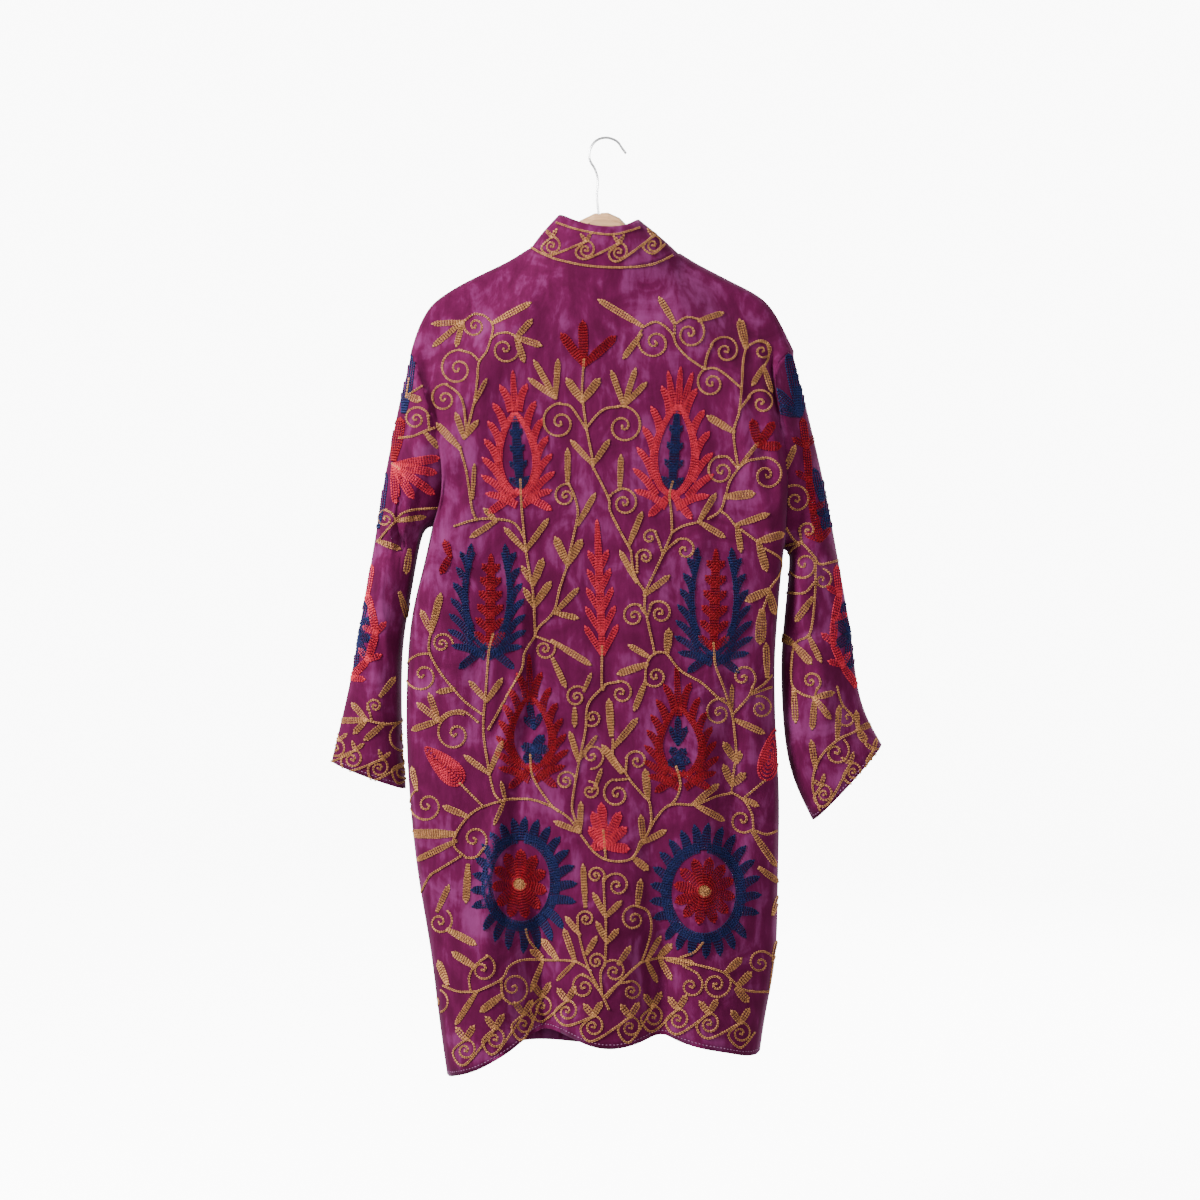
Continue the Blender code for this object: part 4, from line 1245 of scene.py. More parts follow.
def back_left_greenery() -> list[Motif]:
    """Give the stems, tendrils and leaves of the back's left half and middle."""
    return pairs(
        vines(
            ((492.7, 323.3), (493.3, 329.6), (490.2, 342.4), (486.3, 352.6), (479.3, 362.8), (477.4, 379.4),
            (474.8, 399.8), (468.7, 424), (464, 438)),
            ((491.4, 322), (485, 316.3), (474.8, 314.3), (465.9, 320)),
            ((491.4, 339.2), (497.8, 334.1), (508, 332.8), (515, 336)),
            ((479.3, 361.5), (472, 354), (462, 351)),
            ((466, 428), (463.4, 405), (458.3, 393.4), (447, 385)),
            ((459.8, 448), (465.5, 467), (468.7, 485), (472, 509), (476.4, 520)),
            ((524, 537), (514, 523), (497, 519), (476, 519.5), (455, 526)),
            ((520.4, 480), (521.6, 507), (524.8, 541), (527.4, 560), (533, 594), (535, 636)),
            ((584, 360), (582, 389), (583, 402), (586.7, 429), (592, 456), (593, 467)),
            ((586.7, 430), (577.8, 416), (570, 406), (560, 404)),
            ((588, 426), (597, 415), (606, 408.5), (618, 407)),
            ((593, 467), (608.4, 498), (611, 513), (631, 551)), ((608.4, 498), (613, 493), (618.6, 490)),
            ((568.8, 484), (575.2, 498), (577.8, 513), (575, 529.6), (568, 560)),
            ((493, 634.6), (489, 651), (486, 689), (483.4, 730), (488.5, 768), (489, 773)),
            ((567.6, 565), (560, 587.4), (553.5, 611.6), (538.2, 628), (535, 636)),
            ((535, 636), (551, 642), (556, 645)),
            ((535, 636), (524.8, 652.4), (521.6, 669), (509, 693), (488.5, 729)),
            ((602, 647), (602, 688), (606, 684), (618.6, 681.8)),
            ((602, 688), (588, 704.7), (585.4, 730), (579, 762), (575, 783.6), (572, 806.5), (575, 819),
            (580, 831)),
            ((431, 632), (429.2, 650.5), (440, 671.6), (454, 689.4), (465.5, 702), (483.4, 715)),
            ((489.7, 774.6), (494.8, 793.8), (500, 800)), ((460.4, 783.6), (482, 805)),
            ((509.5, 799), (483.4, 806.5), (468, 816.7), (455.3, 834.6), (454.7, 847), (466.8, 857.6)),
            ((466.8, 857.6), (476, 857), (483.4, 848.6)),
            ((509.5, 799), (531.8, 799.5), (551, 806.5), (568.8, 818), (579, 832)),
            ((530.6, 755.5), (533, 777), (548.4, 801.4), (558, 811)),
            ((581.6, 836), (593, 851), (604.5, 859), (618.6, 861.4), (632.6, 857.6), (640, 842)),
            ((603.3, 831), (605.8, 859)), ((460.4, 856.3), (440, 869), (430, 876), (421.7, 892)), ((438.7,
            720.4), (448, 713), (463, 711), (478, 722)),
            ((525.5, 929.5), (529.3, 941), (543.3, 956.3)),
            ((477, 991.4), (501.2, 979.3), (509, 966.5), (523, 960), (548.4, 960), (575.2, 961.4), (590.5,
            970.4)),
            ((443.8, 985.7), (459, 991.4), (477, 991.4)),
            ((470.6, 989.5), (469.3, 978), (474.4, 966.5), (487, 956.3)),
            ((501.2, 979.3), (502.5, 996), (510, 1003)),
            ((608.4, 1008.6), (602, 994.6), (588, 966.5), (579, 934.6), (577.8, 918)),
            ((602, 994.6), (600.7, 973), (605.2, 960), (605.8, 923), (604.5, 903), (603.3, 879)),
            ((602, 994.6), (590.5, 979), (583, 975)), ((607, 997), (620, 982), (640, 962.7)),
            ((608.4, 992), (618, 984), (628.8, 981.8)),
        ),
        curls(
            (422.8, 675, 430, 655, -1.7), (427.4, 805.3, 417.5, 790, -1.8), (436, 1003, 441, 991, 1.6),
            (475, 326, 465.5, 321, -1.6), (504.5, 349, 515, 337, 1.6), (458, 369, 462, 351, -1.75),
            (444.5, 399, 447, 385, -1.7), (560, 422.5, 560, 404, -1.8), (623, 426.3, 618, 407, 1.8),
            (565.6, 496, 569, 485, -1.7), (624, 503, 618.6, 490, 1.8), (544.6, 649, 554.2, 647.3, 1.7),
            (621, 693, 618.6, 681.8, 1.6), (576.5, 697, 584, 689.4, -1.8), (592.4, 717.5, 587, 724, -1.5),
            (441.9, 643.5, 452, 643, -1.8), (455.3, 733.8, 463, 715, -1.7), (592, 755.5, 592, 768, -1.6),
            (565.6, 781, 575, 779, -1.8), (590, 791, 590, 782.3, 1.6), (474, 839, 483.4, 848.6, -1.3),
            (586, 919, 578, 918, 1.7), (595.6, 875.4, 603.3, 879, -1.8), (617, 885.6, 605, 881, 1.7),
            (596.3, 961.4, 604, 965, -1.7), (614, 971.6, 608, 962, 1.7), (584, 987, 583, 975, -1.6),
            (631.3, 991, 628.8, 981.8, 1.7), (513.3, 987, 510, 1003, -1.6), (482.5, 969, 487, 956.3, 1.5),
            (440, 922, 447.7, 912, 1.6),
        ),
        leaves(
            (431, 632, 421.7, 610.9, 3.6), (431, 632, 440.6, 594, 3.8), (438.7, 720.4, 412.3, 729.8, 3.6),
            (438.7, 720.4, 417.9, 703.4, 3.6), (438.7, 720.4, 429.2, 694, 3.4), (416.8, 790, 412.3, 767.6),
            (455.7, 841, 417.2, 860, 3.4),
            (492.7, 323.3, 530.3, 303, 3.4), (462.7, 322, 432.8, 324), (462.7, 322, 433.4, 346.2),
            (462.7, 322, 456.4, 346.2, 3.0), (516.3, 337.3, 531.6, 320, 3.6),
            (516.3, 337.3, 541.2, 345.6, 3.6), (516.3, 337.3, 524, 361.5, 3.6),
            (474.8, 402.3, 486.3, 379.4, 2.6), (464, 438, 456, 413.6), (464, 438, 477.6, 421),
            (459.8, 448, 437, 424, 3.8), (472.5, 498, 474.4, 464.6, 2.4), (496, 521, 484.6, 509),
            (496, 521, 471, 537), (525.5, 551, 505, 528.4), (525.5, 551, 547.8, 519.4),
            (555.4, 398, 529.3, 379), (555.4, 398, 534.4, 361), (555.4, 398, 558, 360),
            (582.2, 401.5, 567, 379, 4.2), (582.2, 401.5, 599.4, 379, 4.2), (623.7, 406, 611.6, 371.5),
            (623.7, 406, 635.5, 369), (623.7, 406, 646, 383), (593, 464.6, 571.4, 441),
            (593, 464.6, 609, 440.4), (567.6, 483.7, 567.6, 449.3), (577.8, 524.5, 595, 494),
            (619.8, 488.8, 621, 455.7), (567.6, 564.4, 555.4, 537.7, 4.2), (567.6, 564.4, 581.6, 540, 4.2),
            (486.6, 701, 470, 681.8), (486.6, 701, 501.9, 679), (533, 584.8, 522.3, 567),
            (533, 584.8, 542.7, 559.3, 4.0), (533.8, 606.5, 524.2, 588.7),
            (533.8, 606.5, 550.3, 582.3, 3.8), (554.8, 613, 577.8, 588.7), (554.8, 613, 577.8, 618),
            (552.2, 641, 590.5, 664.6, 3.4), (553, 659, 565.6, 687), (584, 690.7, 591, 674, 2.4),
            (574.6, 708.6, 574.6, 726.4, 2.8), (636.4, 581, 620.5, 551.7), (454, 689, 437.4, 692),
            (489, 773.4, 465, 756), (489, 773.4, 502.5, 741.5), (468, 816.7, 443.8, 806.5, 3.6),
            (455.3, 834, 411, 833.6, 4.8), (505, 799, 501.2, 782.3, 2.4), (505, 799, 494.2, 824.4, 2.4),
            (579.7, 832, 554.8, 821.8), (579.7, 832, 580.9, 802.7), (578.4, 760.6, 570, 732.6),
            (578.4, 760.6, 596.3, 736.4, 2.6), (594.3, 788.7, 601.4, 769.5, 2.4),
            (468, 865.2, 466, 902.2, 3.8), (437.4, 911, 449, 885.6), (447.7, 929.5, 475.7, 944.2, 3.8),
            (447.7, 984.4, 438.7, 961.4, 3.8), (543.3, 960, 530.6, 950), (543.3, 960, 530.6, 990.8, 2.8),
            (557.3, 959, 542.7, 939.7, 4.2), (575.2, 961.4, 564.4, 929.5, 3.6),
            (575.2, 961.4, 557.3, 980, 2.6), (474.4, 966.5, 452.8, 952.5, 3.8), (476.4, 992, 456, 1024),
            (502.5, 994.6, 480.8, 1011.2, 3.8), (585.4, 906.6, 583, 865), (579.7, 934.6, 566.3, 917.4),
            (586.7, 953.8, 596.3, 937.2), (605.8, 916.8, 593.7, 893.8), (605.8, 916.8, 621, 901.5),
            (607, 942.3, 596.9, 922.5), (607, 942.3, 618, 929.5), (618.6, 964, 630, 946.8),
        ),
    )


def back_right_greenery() -> list[Motif]:
    """Give the stems, tendrils and leaves of the back's right half."""
    return pairs(
        vines(
            ((643.4, 327), (654.8, 322), (663.8, 325.7), (672.7, 334.6), (676.5, 345), (688, 357.6), (704.6,
            369)),
            ((674.6, 333.4), (674.6, 323.2)), ((676.5, 323.2), (686.7, 317.4), (697.6, 319.3)),
            ((704.6, 369), (707, 356), (712, 345)),
            ((705.9, 369), (714.8, 368.4), (725, 374.2), (740.3, 387.6)),
            ((746, 347.4), (743, 361.4), (741.6, 387), (739, 412.4), (733.9, 430.3), (735.2, 449.4), (738.4,
            467)),
            ((748, 346), (758, 341.7), (767, 345), (768.4, 356.3), (764.5, 365.3)),
            ((740.3, 408.6), (749.2, 397)), ((736.5, 466.7), (727.6, 457), (719, 457)),
            ((738.4, 468.6), (748, 461), (763.3, 458.4)),
            ((738.4, 468.6), (730, 481), (725.6, 495.5), (720, 510.8), (708.4, 518.5)),
            ((672.7, 482), (669.5, 495.5), (671.4, 514.6), (672, 532.5)),
            ((672, 532.5), (683, 526), (698.2, 522.3)), ((720, 510.8), (727.6, 516), (735.2, 526)),
            ((741.6, 530), (757, 541.4)), ((765.8, 549), (779.8, 558.6), (779.8, 572), (769.6, 588.6)),
            ((767, 597.6), (762, 611.6)),
            ((672, 532.5), (665, 549), (661.2, 558), (651, 579.7), (644.6, 592.4)),
            ((662.5, 553), (658.7, 541.4), (655, 532)), ((663.8, 553), (670, 546), (676.5, 541.4)),
            ((631, 551), (633.2, 569.5), (638.3, 582.2), (644.6, 592.4), (644.6, 608), (647.2, 619), (654.8,
            653.7)),
            ((637, 572), (637, 557)), ((644.6, 613), (640, 606)), ((647.2, 616.7), (651, 605)),
            ((656, 652.4), (666.3, 653.7), (680.4, 670.4), (702, 683.2), (717.3, 697.2), (728.8, 706),
            (732.7, 719), (735.2, 739.3), (736.5, 756)),
            ((656, 652.4), (649.7, 658), (646, 668), (645.3, 680)),
            ((713.5, 643.5), (714, 650), (715.4, 665.3), (722.4, 684.4), (728.8, 703.6)),
            ((733.3, 713.8), (748, 697.2), (752, 688)), ((751.8, 692), (763.3, 684.4), (771, 675.5)),
            ((751.8, 694), (771, 687)), ((734.6, 764.8), (732.7, 778.8), (731.4, 792)),
            ((764.5, 780.7), (745.4, 796.7)),
            ((731.4, 793), (714.8, 796.7), (695.7, 804.3), (670, 805), (656, 818.4), (647.2, 833.7), (638.3,
            850), (632.3, 858)),
            ((732.7, 793), (744, 800.5), (751.8, 814.5), (753, 828.6)),
            ((753, 830), (765.8, 834.3), (776, 831)),
            ((676.5, 767.3), (680.4, 784), (676.5, 798), (670, 805)),
            ((613, 740), (613.4, 756), (624.2, 771), (632, 782.7), (644.6, 796.7), (649.7, 803), (651, 822),
            (647.2, 833.7)),
            ((625.5, 772.4), (626.8, 758.4)), ((629.3, 778.8), (616.6, 780)),
            ((637.2, 906), (647.7, 911.6), (651.2, 927), (646.3, 948), (640.7, 962)),
            ((605.6, 995.7), (628, 973.3), (639.3, 963.5), (646.3, 960.7), (659, 958), (678.6, 959.3),
            (692.6, 963.5), (720.7, 971.2), (730.5, 979), (741.7, 988.7), (754.3, 991.5), (768.4, 991.5)),
            ((702.4, 943), (694, 952.3), (681.4, 957)), ((684, 966), (697, 973), (699.5, 978)),
            ((776.8, 941), (772.6, 960.7), (769.8, 980.3), (768.4, 991.5)),
        ),
        curls(
            (654.8, 342.3, 642, 331, -1.75), (689.5, 333.5, 699.5, 322, 1.6), (725.6, 351, 712, 345, 1.75),
            (711.5, 383, 703, 371.6, -1.7), (762, 351, 757, 342, 1.5), (761.5, 403, 749.2, 397, 1.6),
            (721.5, 471, 719, 457, -1.7), (766.5, 475, 763.3, 458.4, 1.75), (650, 537.5, 655, 532, -1.2),
            (684.5, 550, 676.5, 541.4, 1.4), (645, 557, 637, 557, 1.5), (634, 616, 640, 606, -1.7),
            (660, 613, 651, 605, 1.7), (719, 713, 723.7, 699.7, -1.7), (743, 677, 752, 686, -1.5),
            (760.5, 708, 757, 697, 1.7), (742, 820, 750, 830, 1.3), (655.5, 676, 646.5, 682, -1.5),
            (637, 761, 627, 758, 1.5), (617, 794, 613, 780.5, -1.7), (634, 919, 636, 906.6, -1.7),
            (691, 986, 699.5, 978, 1.5), (716, 984.5, 728, 976, 1.9), (760, 963, 770, 956, -1.6),
        ),
        leaves(
            (642, 326, 599, 300, 3.6), (640.8, 334.6, 623.6, 358), (674.6, 323.2, 659.3, 297.7, 3.4),
            (698.9, 320.6, 723, 313), (746, 348, 739.7, 320, 4.6), (763.3, 366.5, 752.4, 385, 2.8),
            (763.3, 366.5, 771.6, 392, 2.8), (733.9, 432, 707.8, 416.3, 3.8), (739, 467.3, 758, 443, 2.2),
            (698.9, 521.7, 715.4, 494.2, 3.4), (698.9, 521.7, 724.4, 537, 3.4),
            (725.6, 496.8, 754.3, 493.6, 4.6), (737, 524.8, 768.4, 514, 3.4), (737, 524.8, 741, 551.6, 3.2),
            (758.2, 541.4, 783.7, 533.8, 4.2), (758.2, 541.4, 766.5, 570.8, 4.2),
            (768.4, 590, 746, 600.7, 4.4), (768.4, 590, 774.7, 614, 4.0), (762, 610.3, 760, 643.5, 5.6),
            (767, 676.8, 765.8, 643.5, 3.6), (628.7, 545.3, 642, 512.7), (637, 582.2, 620.4, 551.6),
            (644.6, 595, 668.9, 576), (667, 652.4, 668.9, 629.4, 4.2), (649.7, 657.5, 629.3, 645.4),
            (647, 664, 618, 674, 3.8), (731.4, 710, 732, 685.7, 2.6), (735.2, 720, 763.9, 733, 3.6),
            (736.5, 762.2, 723.7, 743, 4), (736.5, 762.2, 739.7, 752, 4), (732, 785, 723.7, 765.4, 3.8),
            (732, 785, 744.8, 773.7, 4.2), (744, 799, 758, 805.6, 3.2), (693.8, 803.7, 718, 784.6, 3.6),
            (693.8, 803.7, 723.7, 820.3, 3.6), (645.3, 682, 634.4, 710), (611.5, 735.5, 608.9, 699.7, 3.8),
            (614, 747, 637, 718.9, 3.6), (621.7, 772.4, 602.6, 745.7, 3.8), (647.8, 798.6, 645.3, 770, 4),
            (643.4, 842.6, 640.8, 815.8, 3.6), (643.4, 842.6, 665.7, 830.5, 3.4),
            (633.7, 858.2, 647.7, 869.5, 4), (637.2, 906, 640.7, 880, 3.6), (646.3, 960.7, 660.3, 936.8, 3),
            (646.3, 960.7, 656.8, 981.7, 3), (659, 956.5, 671.6, 944.5, 3.8), (659, 958, 671.6, 979, 3.4),
            (667.4, 959.3, 694, 963.5, 3.6), (726.3, 972, 741, 958.6, 4), (737.5, 986, 750.8, 972.6, 4),
            (736, 988.7, 748, 1001.4, 4.4), (772.6, 960.7, 776.8, 941, 3), (772.6, 914.4, 778.2, 896, 3),
            (753, 832.4, 776, 866, 3.6), (759.3, 868, 778.2, 882, 3.4),
        ),
    )


def left_sleeve_work() -> list[Motif]:
    """Give what is sewn on the left sleeve."""
    coral, navy, red = Thread.CORAL, Thread.NAVY, Thread.RED
    return pairs(
        vines(
            ((399.8, 438), (414, 436), (425, 431), (434, 428)), ((429.3, 430), (428, 416)),
            ((406.8, 396), (422.3, 386.3)), ((406.8, 396), (409.6, 379.3)), ((392.8, 463.5), (399.8, 469)),
            ((378.8, 540.7), (394.2, 522.5), (408, 511), (440.5, 507.7)),
            ((395, 521), (392.8, 514), (387, 510.5)), ((366.4, 720), (386.3, 724), (405.4, 720.8)),
            ((371.4, 719), (368, 704)),
        ),
        curls(
            (416, 419, 428, 416, -1.8), (386, 519, 387.2, 510.5, -1.4), (375, 706, 368.5, 709, 1.5),
            (404.5, 739, 402.9, 722.4, -1.6),
        ),
        leaves(
            (425, 432.6, 439, 448, 3.2), (406.8, 396, 420.9, 400.4, 4), (395.6, 521, 425, 516.8, 2.8),
            (378, 540.7, 399.8, 549, 3.4), (380.5, 696, 394.6, 677.6, 3.2), (366.4, 720, 337.4, 720.8, 3.4),
            (366.4, 720, 352.3, 703.3, 3.4), (366.4, 720, 354, 733.2, 3.2), (383.8, 724, 364.7, 739.8, 3.4),
            (409.5, 550, 406, 573, 3.6), (399.6, 593, 407.8, 619.6, 3.4),
        ),
        [
            Blade((404, 412), (411, 355), 6.0, navy),
            Blade((394, 460), (401, 418), 6.0, red),
            Fan((394, 465), ((396, 503), (413, 498), (434, 494), (436, 473), (439, 458)), 4.6, coral),
            Blade((378, 527), (385, 472), 5.0, navy),
            Branch(((372, 565), (367, 595), (371, 605), (376, 633), (368, 660), (351, 678)), coral, (1, 3,
                3, 4, 4, 5), 4.0, 14.0),
            Fan((356, 638), ((364.7, 601.4), (368, 618), (370.5, 638), (364.7, 656), (354, 667.7)), 4.8,
                navy),
            Border(((336, 749), (352.3, 759), (378.8, 768), (402, 771)), (0.33, -0.94), 8.0, 11.0, 13.0),
        ],
    )


def right_sleeve_work() -> list[Motif]:
    """Give what is sewn on the right sleeve."""
    coral, navy, red = Thread.CORAL, Thread.NAVY, Thread.RED
    return pairs(
        vines(
            ((785, 525.7), (795, 540.6), (803, 544), (814.8, 557), (820, 564), (838, 560.5)),
            ((785, 545.6), (801.5, 542.3)), ((801.5, 541), (800, 531)),
            ((815.6, 558), (814.8, 594.4), (812, 623.7), (808, 635.8), (796, 642.7), (792.4, 656.4), (792.4,
            684), (802.7, 694.3), (814.8, 697.8)),
            ((789, 592.7), (804.4, 592.7), (814, 582.4)),
            ((837, 687.4), (842.3, 704.6), (856, 720), (856, 730.5), (839, 739), (823.4, 753), (814.8, 770),
            (813, 789), (820, 809.7)),
            ((814.8, 697.8), (817.4, 688)),
        ),
        curls(
            (796, 500, 787, 488, 1.7), (808, 530.5, 800, 531, 1.4), (804, 564, 799, 546, -1.7),
            (822, 580, 824, 570, 1.3), (811, 681, 817.4, 688, -1.5), (847.5, 718, 843, 708, -1.3),
            (836, 752, 844, 741, 1.5),
        ),
        leaves(
            (784, 472.6, 795, 446, 3.2), (812.2, 598, 796, 621, 3.6), (794, 644.4, 779.5, 635, 4),
            (794, 644.4, 811.3, 663.3, 4.4), (808.7, 635.8, 820.8, 661.6, 3.2),
            (814.8, 697.8, 833.7, 692.6, 3.4), (814.8, 697.8, 830.3, 718.4, 3.4),
            (814.8, 697.8, 812.2, 728.8, 3.6), (794, 689, 795.8, 722, 3.6), (837.2, 739, 839, 706.4, 3.2),
            (857.8, 729.6, 856, 711.5, 2.8), (857.8, 729.6, 871.6, 723.6, 3.4),
            (857.8, 729.6, 865.6, 741.7, 4), (815.6, 768.4, 811.3, 740.8, 3.6),
        ),
        [
            Fan((800, 415), ((788, 354), (797.5, 368), (802, 385), (774, 390), (778, 408)), 5.6, navy),
            Branch(((802, 419), (806, 446), (809, 480), (813, 512), (820, 540)), red, (1, 1, 2, 3, 4, 4),
                4.2, 15.0),
            Fan((821.4, 501), ((814, 469), (823, 481)), 4.4, navy),
            Fan((826.4, 514), ((827, 496), (817, 511), (824, 529), (831.4, 527)), 4.6, navy),
            Branch(((836, 566), (839, 594), (834, 620), (833, 643), (842, 665), (856, 686)), coral, (1, 2,
                3, 4, 4, 5), 4.0, 14.0),
            Fan((851, 634), ((844, 603), (835.4, 622), (836.3, 646), (849, 668.5)), 5.6, navy),
            Border(((824, 794), (853, 772), (876, 758)), (-0.3, -0.95), 7.5, 12.0, 11.0),
        ],
    )


def hem_border() -> list[Motif]:
    """Give the curled border along the back's hem."""
    left = ((465.5, 1050), (494.8, 1039), (523.5, 1024.6), (542, 1007), (567, 1011), (593, 1026.5))
    right = ((629.9, 1027.3), (652.6, 1016.8), (677.9, 1019.6), (708.7, 1023.8), (740.3, 1033))
    return [Border(left + right)]


def front_borders() -> list[Motif]:
    """Give the curled borders down both front edges."""
    places = [340.0 + 33.0 * step for step in range(21)]
    return [
        Border(tuple((PHOTO_MIDDLE - side * 17.0, down) for down in places[:: int(side)]), (-side, 0.0),
            7.5, 11.0, 12.0)
        for side in (1.0, -1.0)
    ]


def collar_work() -> list[Motif]:
    """Give the collar's border lines and curls."""
    curls_along = ((552, 246), (586, 250), (619, 252), (653, 245))
    return [
        Vine(((530, 247), (545, 255), (561, 260.5), (589, 266), (623, 267.5), (652, 264.5), (672, 256))),
        Vine(((557, 223), (575, 229), (597, 233.5), (614, 234.5), (628, 231.5), (639, 228))),
        Border(curls_along, (0.0, -1.0), 7.5, 10.0, 9.0),
    ]


# Sewing


def link_mesh(strands: int) -> bpy.types.Mesh:
    """Make one stitch of unit length, width and height.

    Args:
        strands: 2 for a chain link, 1 for a running stitch.

    Returns:
        The stitch's mesh, along x with its top to +z.
    """
    stations = ((-0.62, 0.10, 0.0, 0.35), (0.02, 0.27, 0.25, 1.0), (0.62, 0.06, 0.0, 0.2))
    if strands == 1:
        stations = ((-0.5, 0.0, 0.0, -0.3), (-0.3, 0.0, 0.5, 1.0), (0.3, 0.0, 0.5, 1.0), (0.5, 0.0, 0.0,
            -0.3))
    points: list[tuple[float, float, float]] = []
    faces: list[tuple[int, ...]] = []
    for side in (-1.0, 1.0)[:strands]:
        first = len(points)
        for x, y, half, top in stations:
            centre = side * y
            if half == 0.0:
                points.append((x, centre, top))
            else:
                points += [(x, centre - half, -0.25), (x, centre, top), (x, centre + half, -0.25)]
        last = len(points) - 1
        for k in range(3):
            after = (k + 1) % 3
            faces += [(first, first + 1 + after, first + 1 + k), (last - 3 + k, last - 3 + after, last)]
            for low in range(first + 1, last - 3, 3):
                faces.append((low + k, low + after, low + 3 + after, low + 3 + k))
    mesh = bpy.data.meshes.new("stitch")
    mesh.from_pydata(points, [], faces)
    form = bmesh.new()
    form.from_mesh(mesh)
    bmesh.ops.recalc_face_normals(form, faces=form.faces)
    for face in form.faces:
        face.smooth = True
    form.to_mesh(mesh)
    form.free()
    # crown: each point's height on the stitch, which the thread's colour reads for painted shade low on each
    # strand.
    crown = [min(1.0, max(0.0, (point[2] + 0.25) / 1.25)) for point in points]
    mesh.attributes.new("crown", "FLOAT", "POINT").data.foreach_set("value", crown)
    return mesh


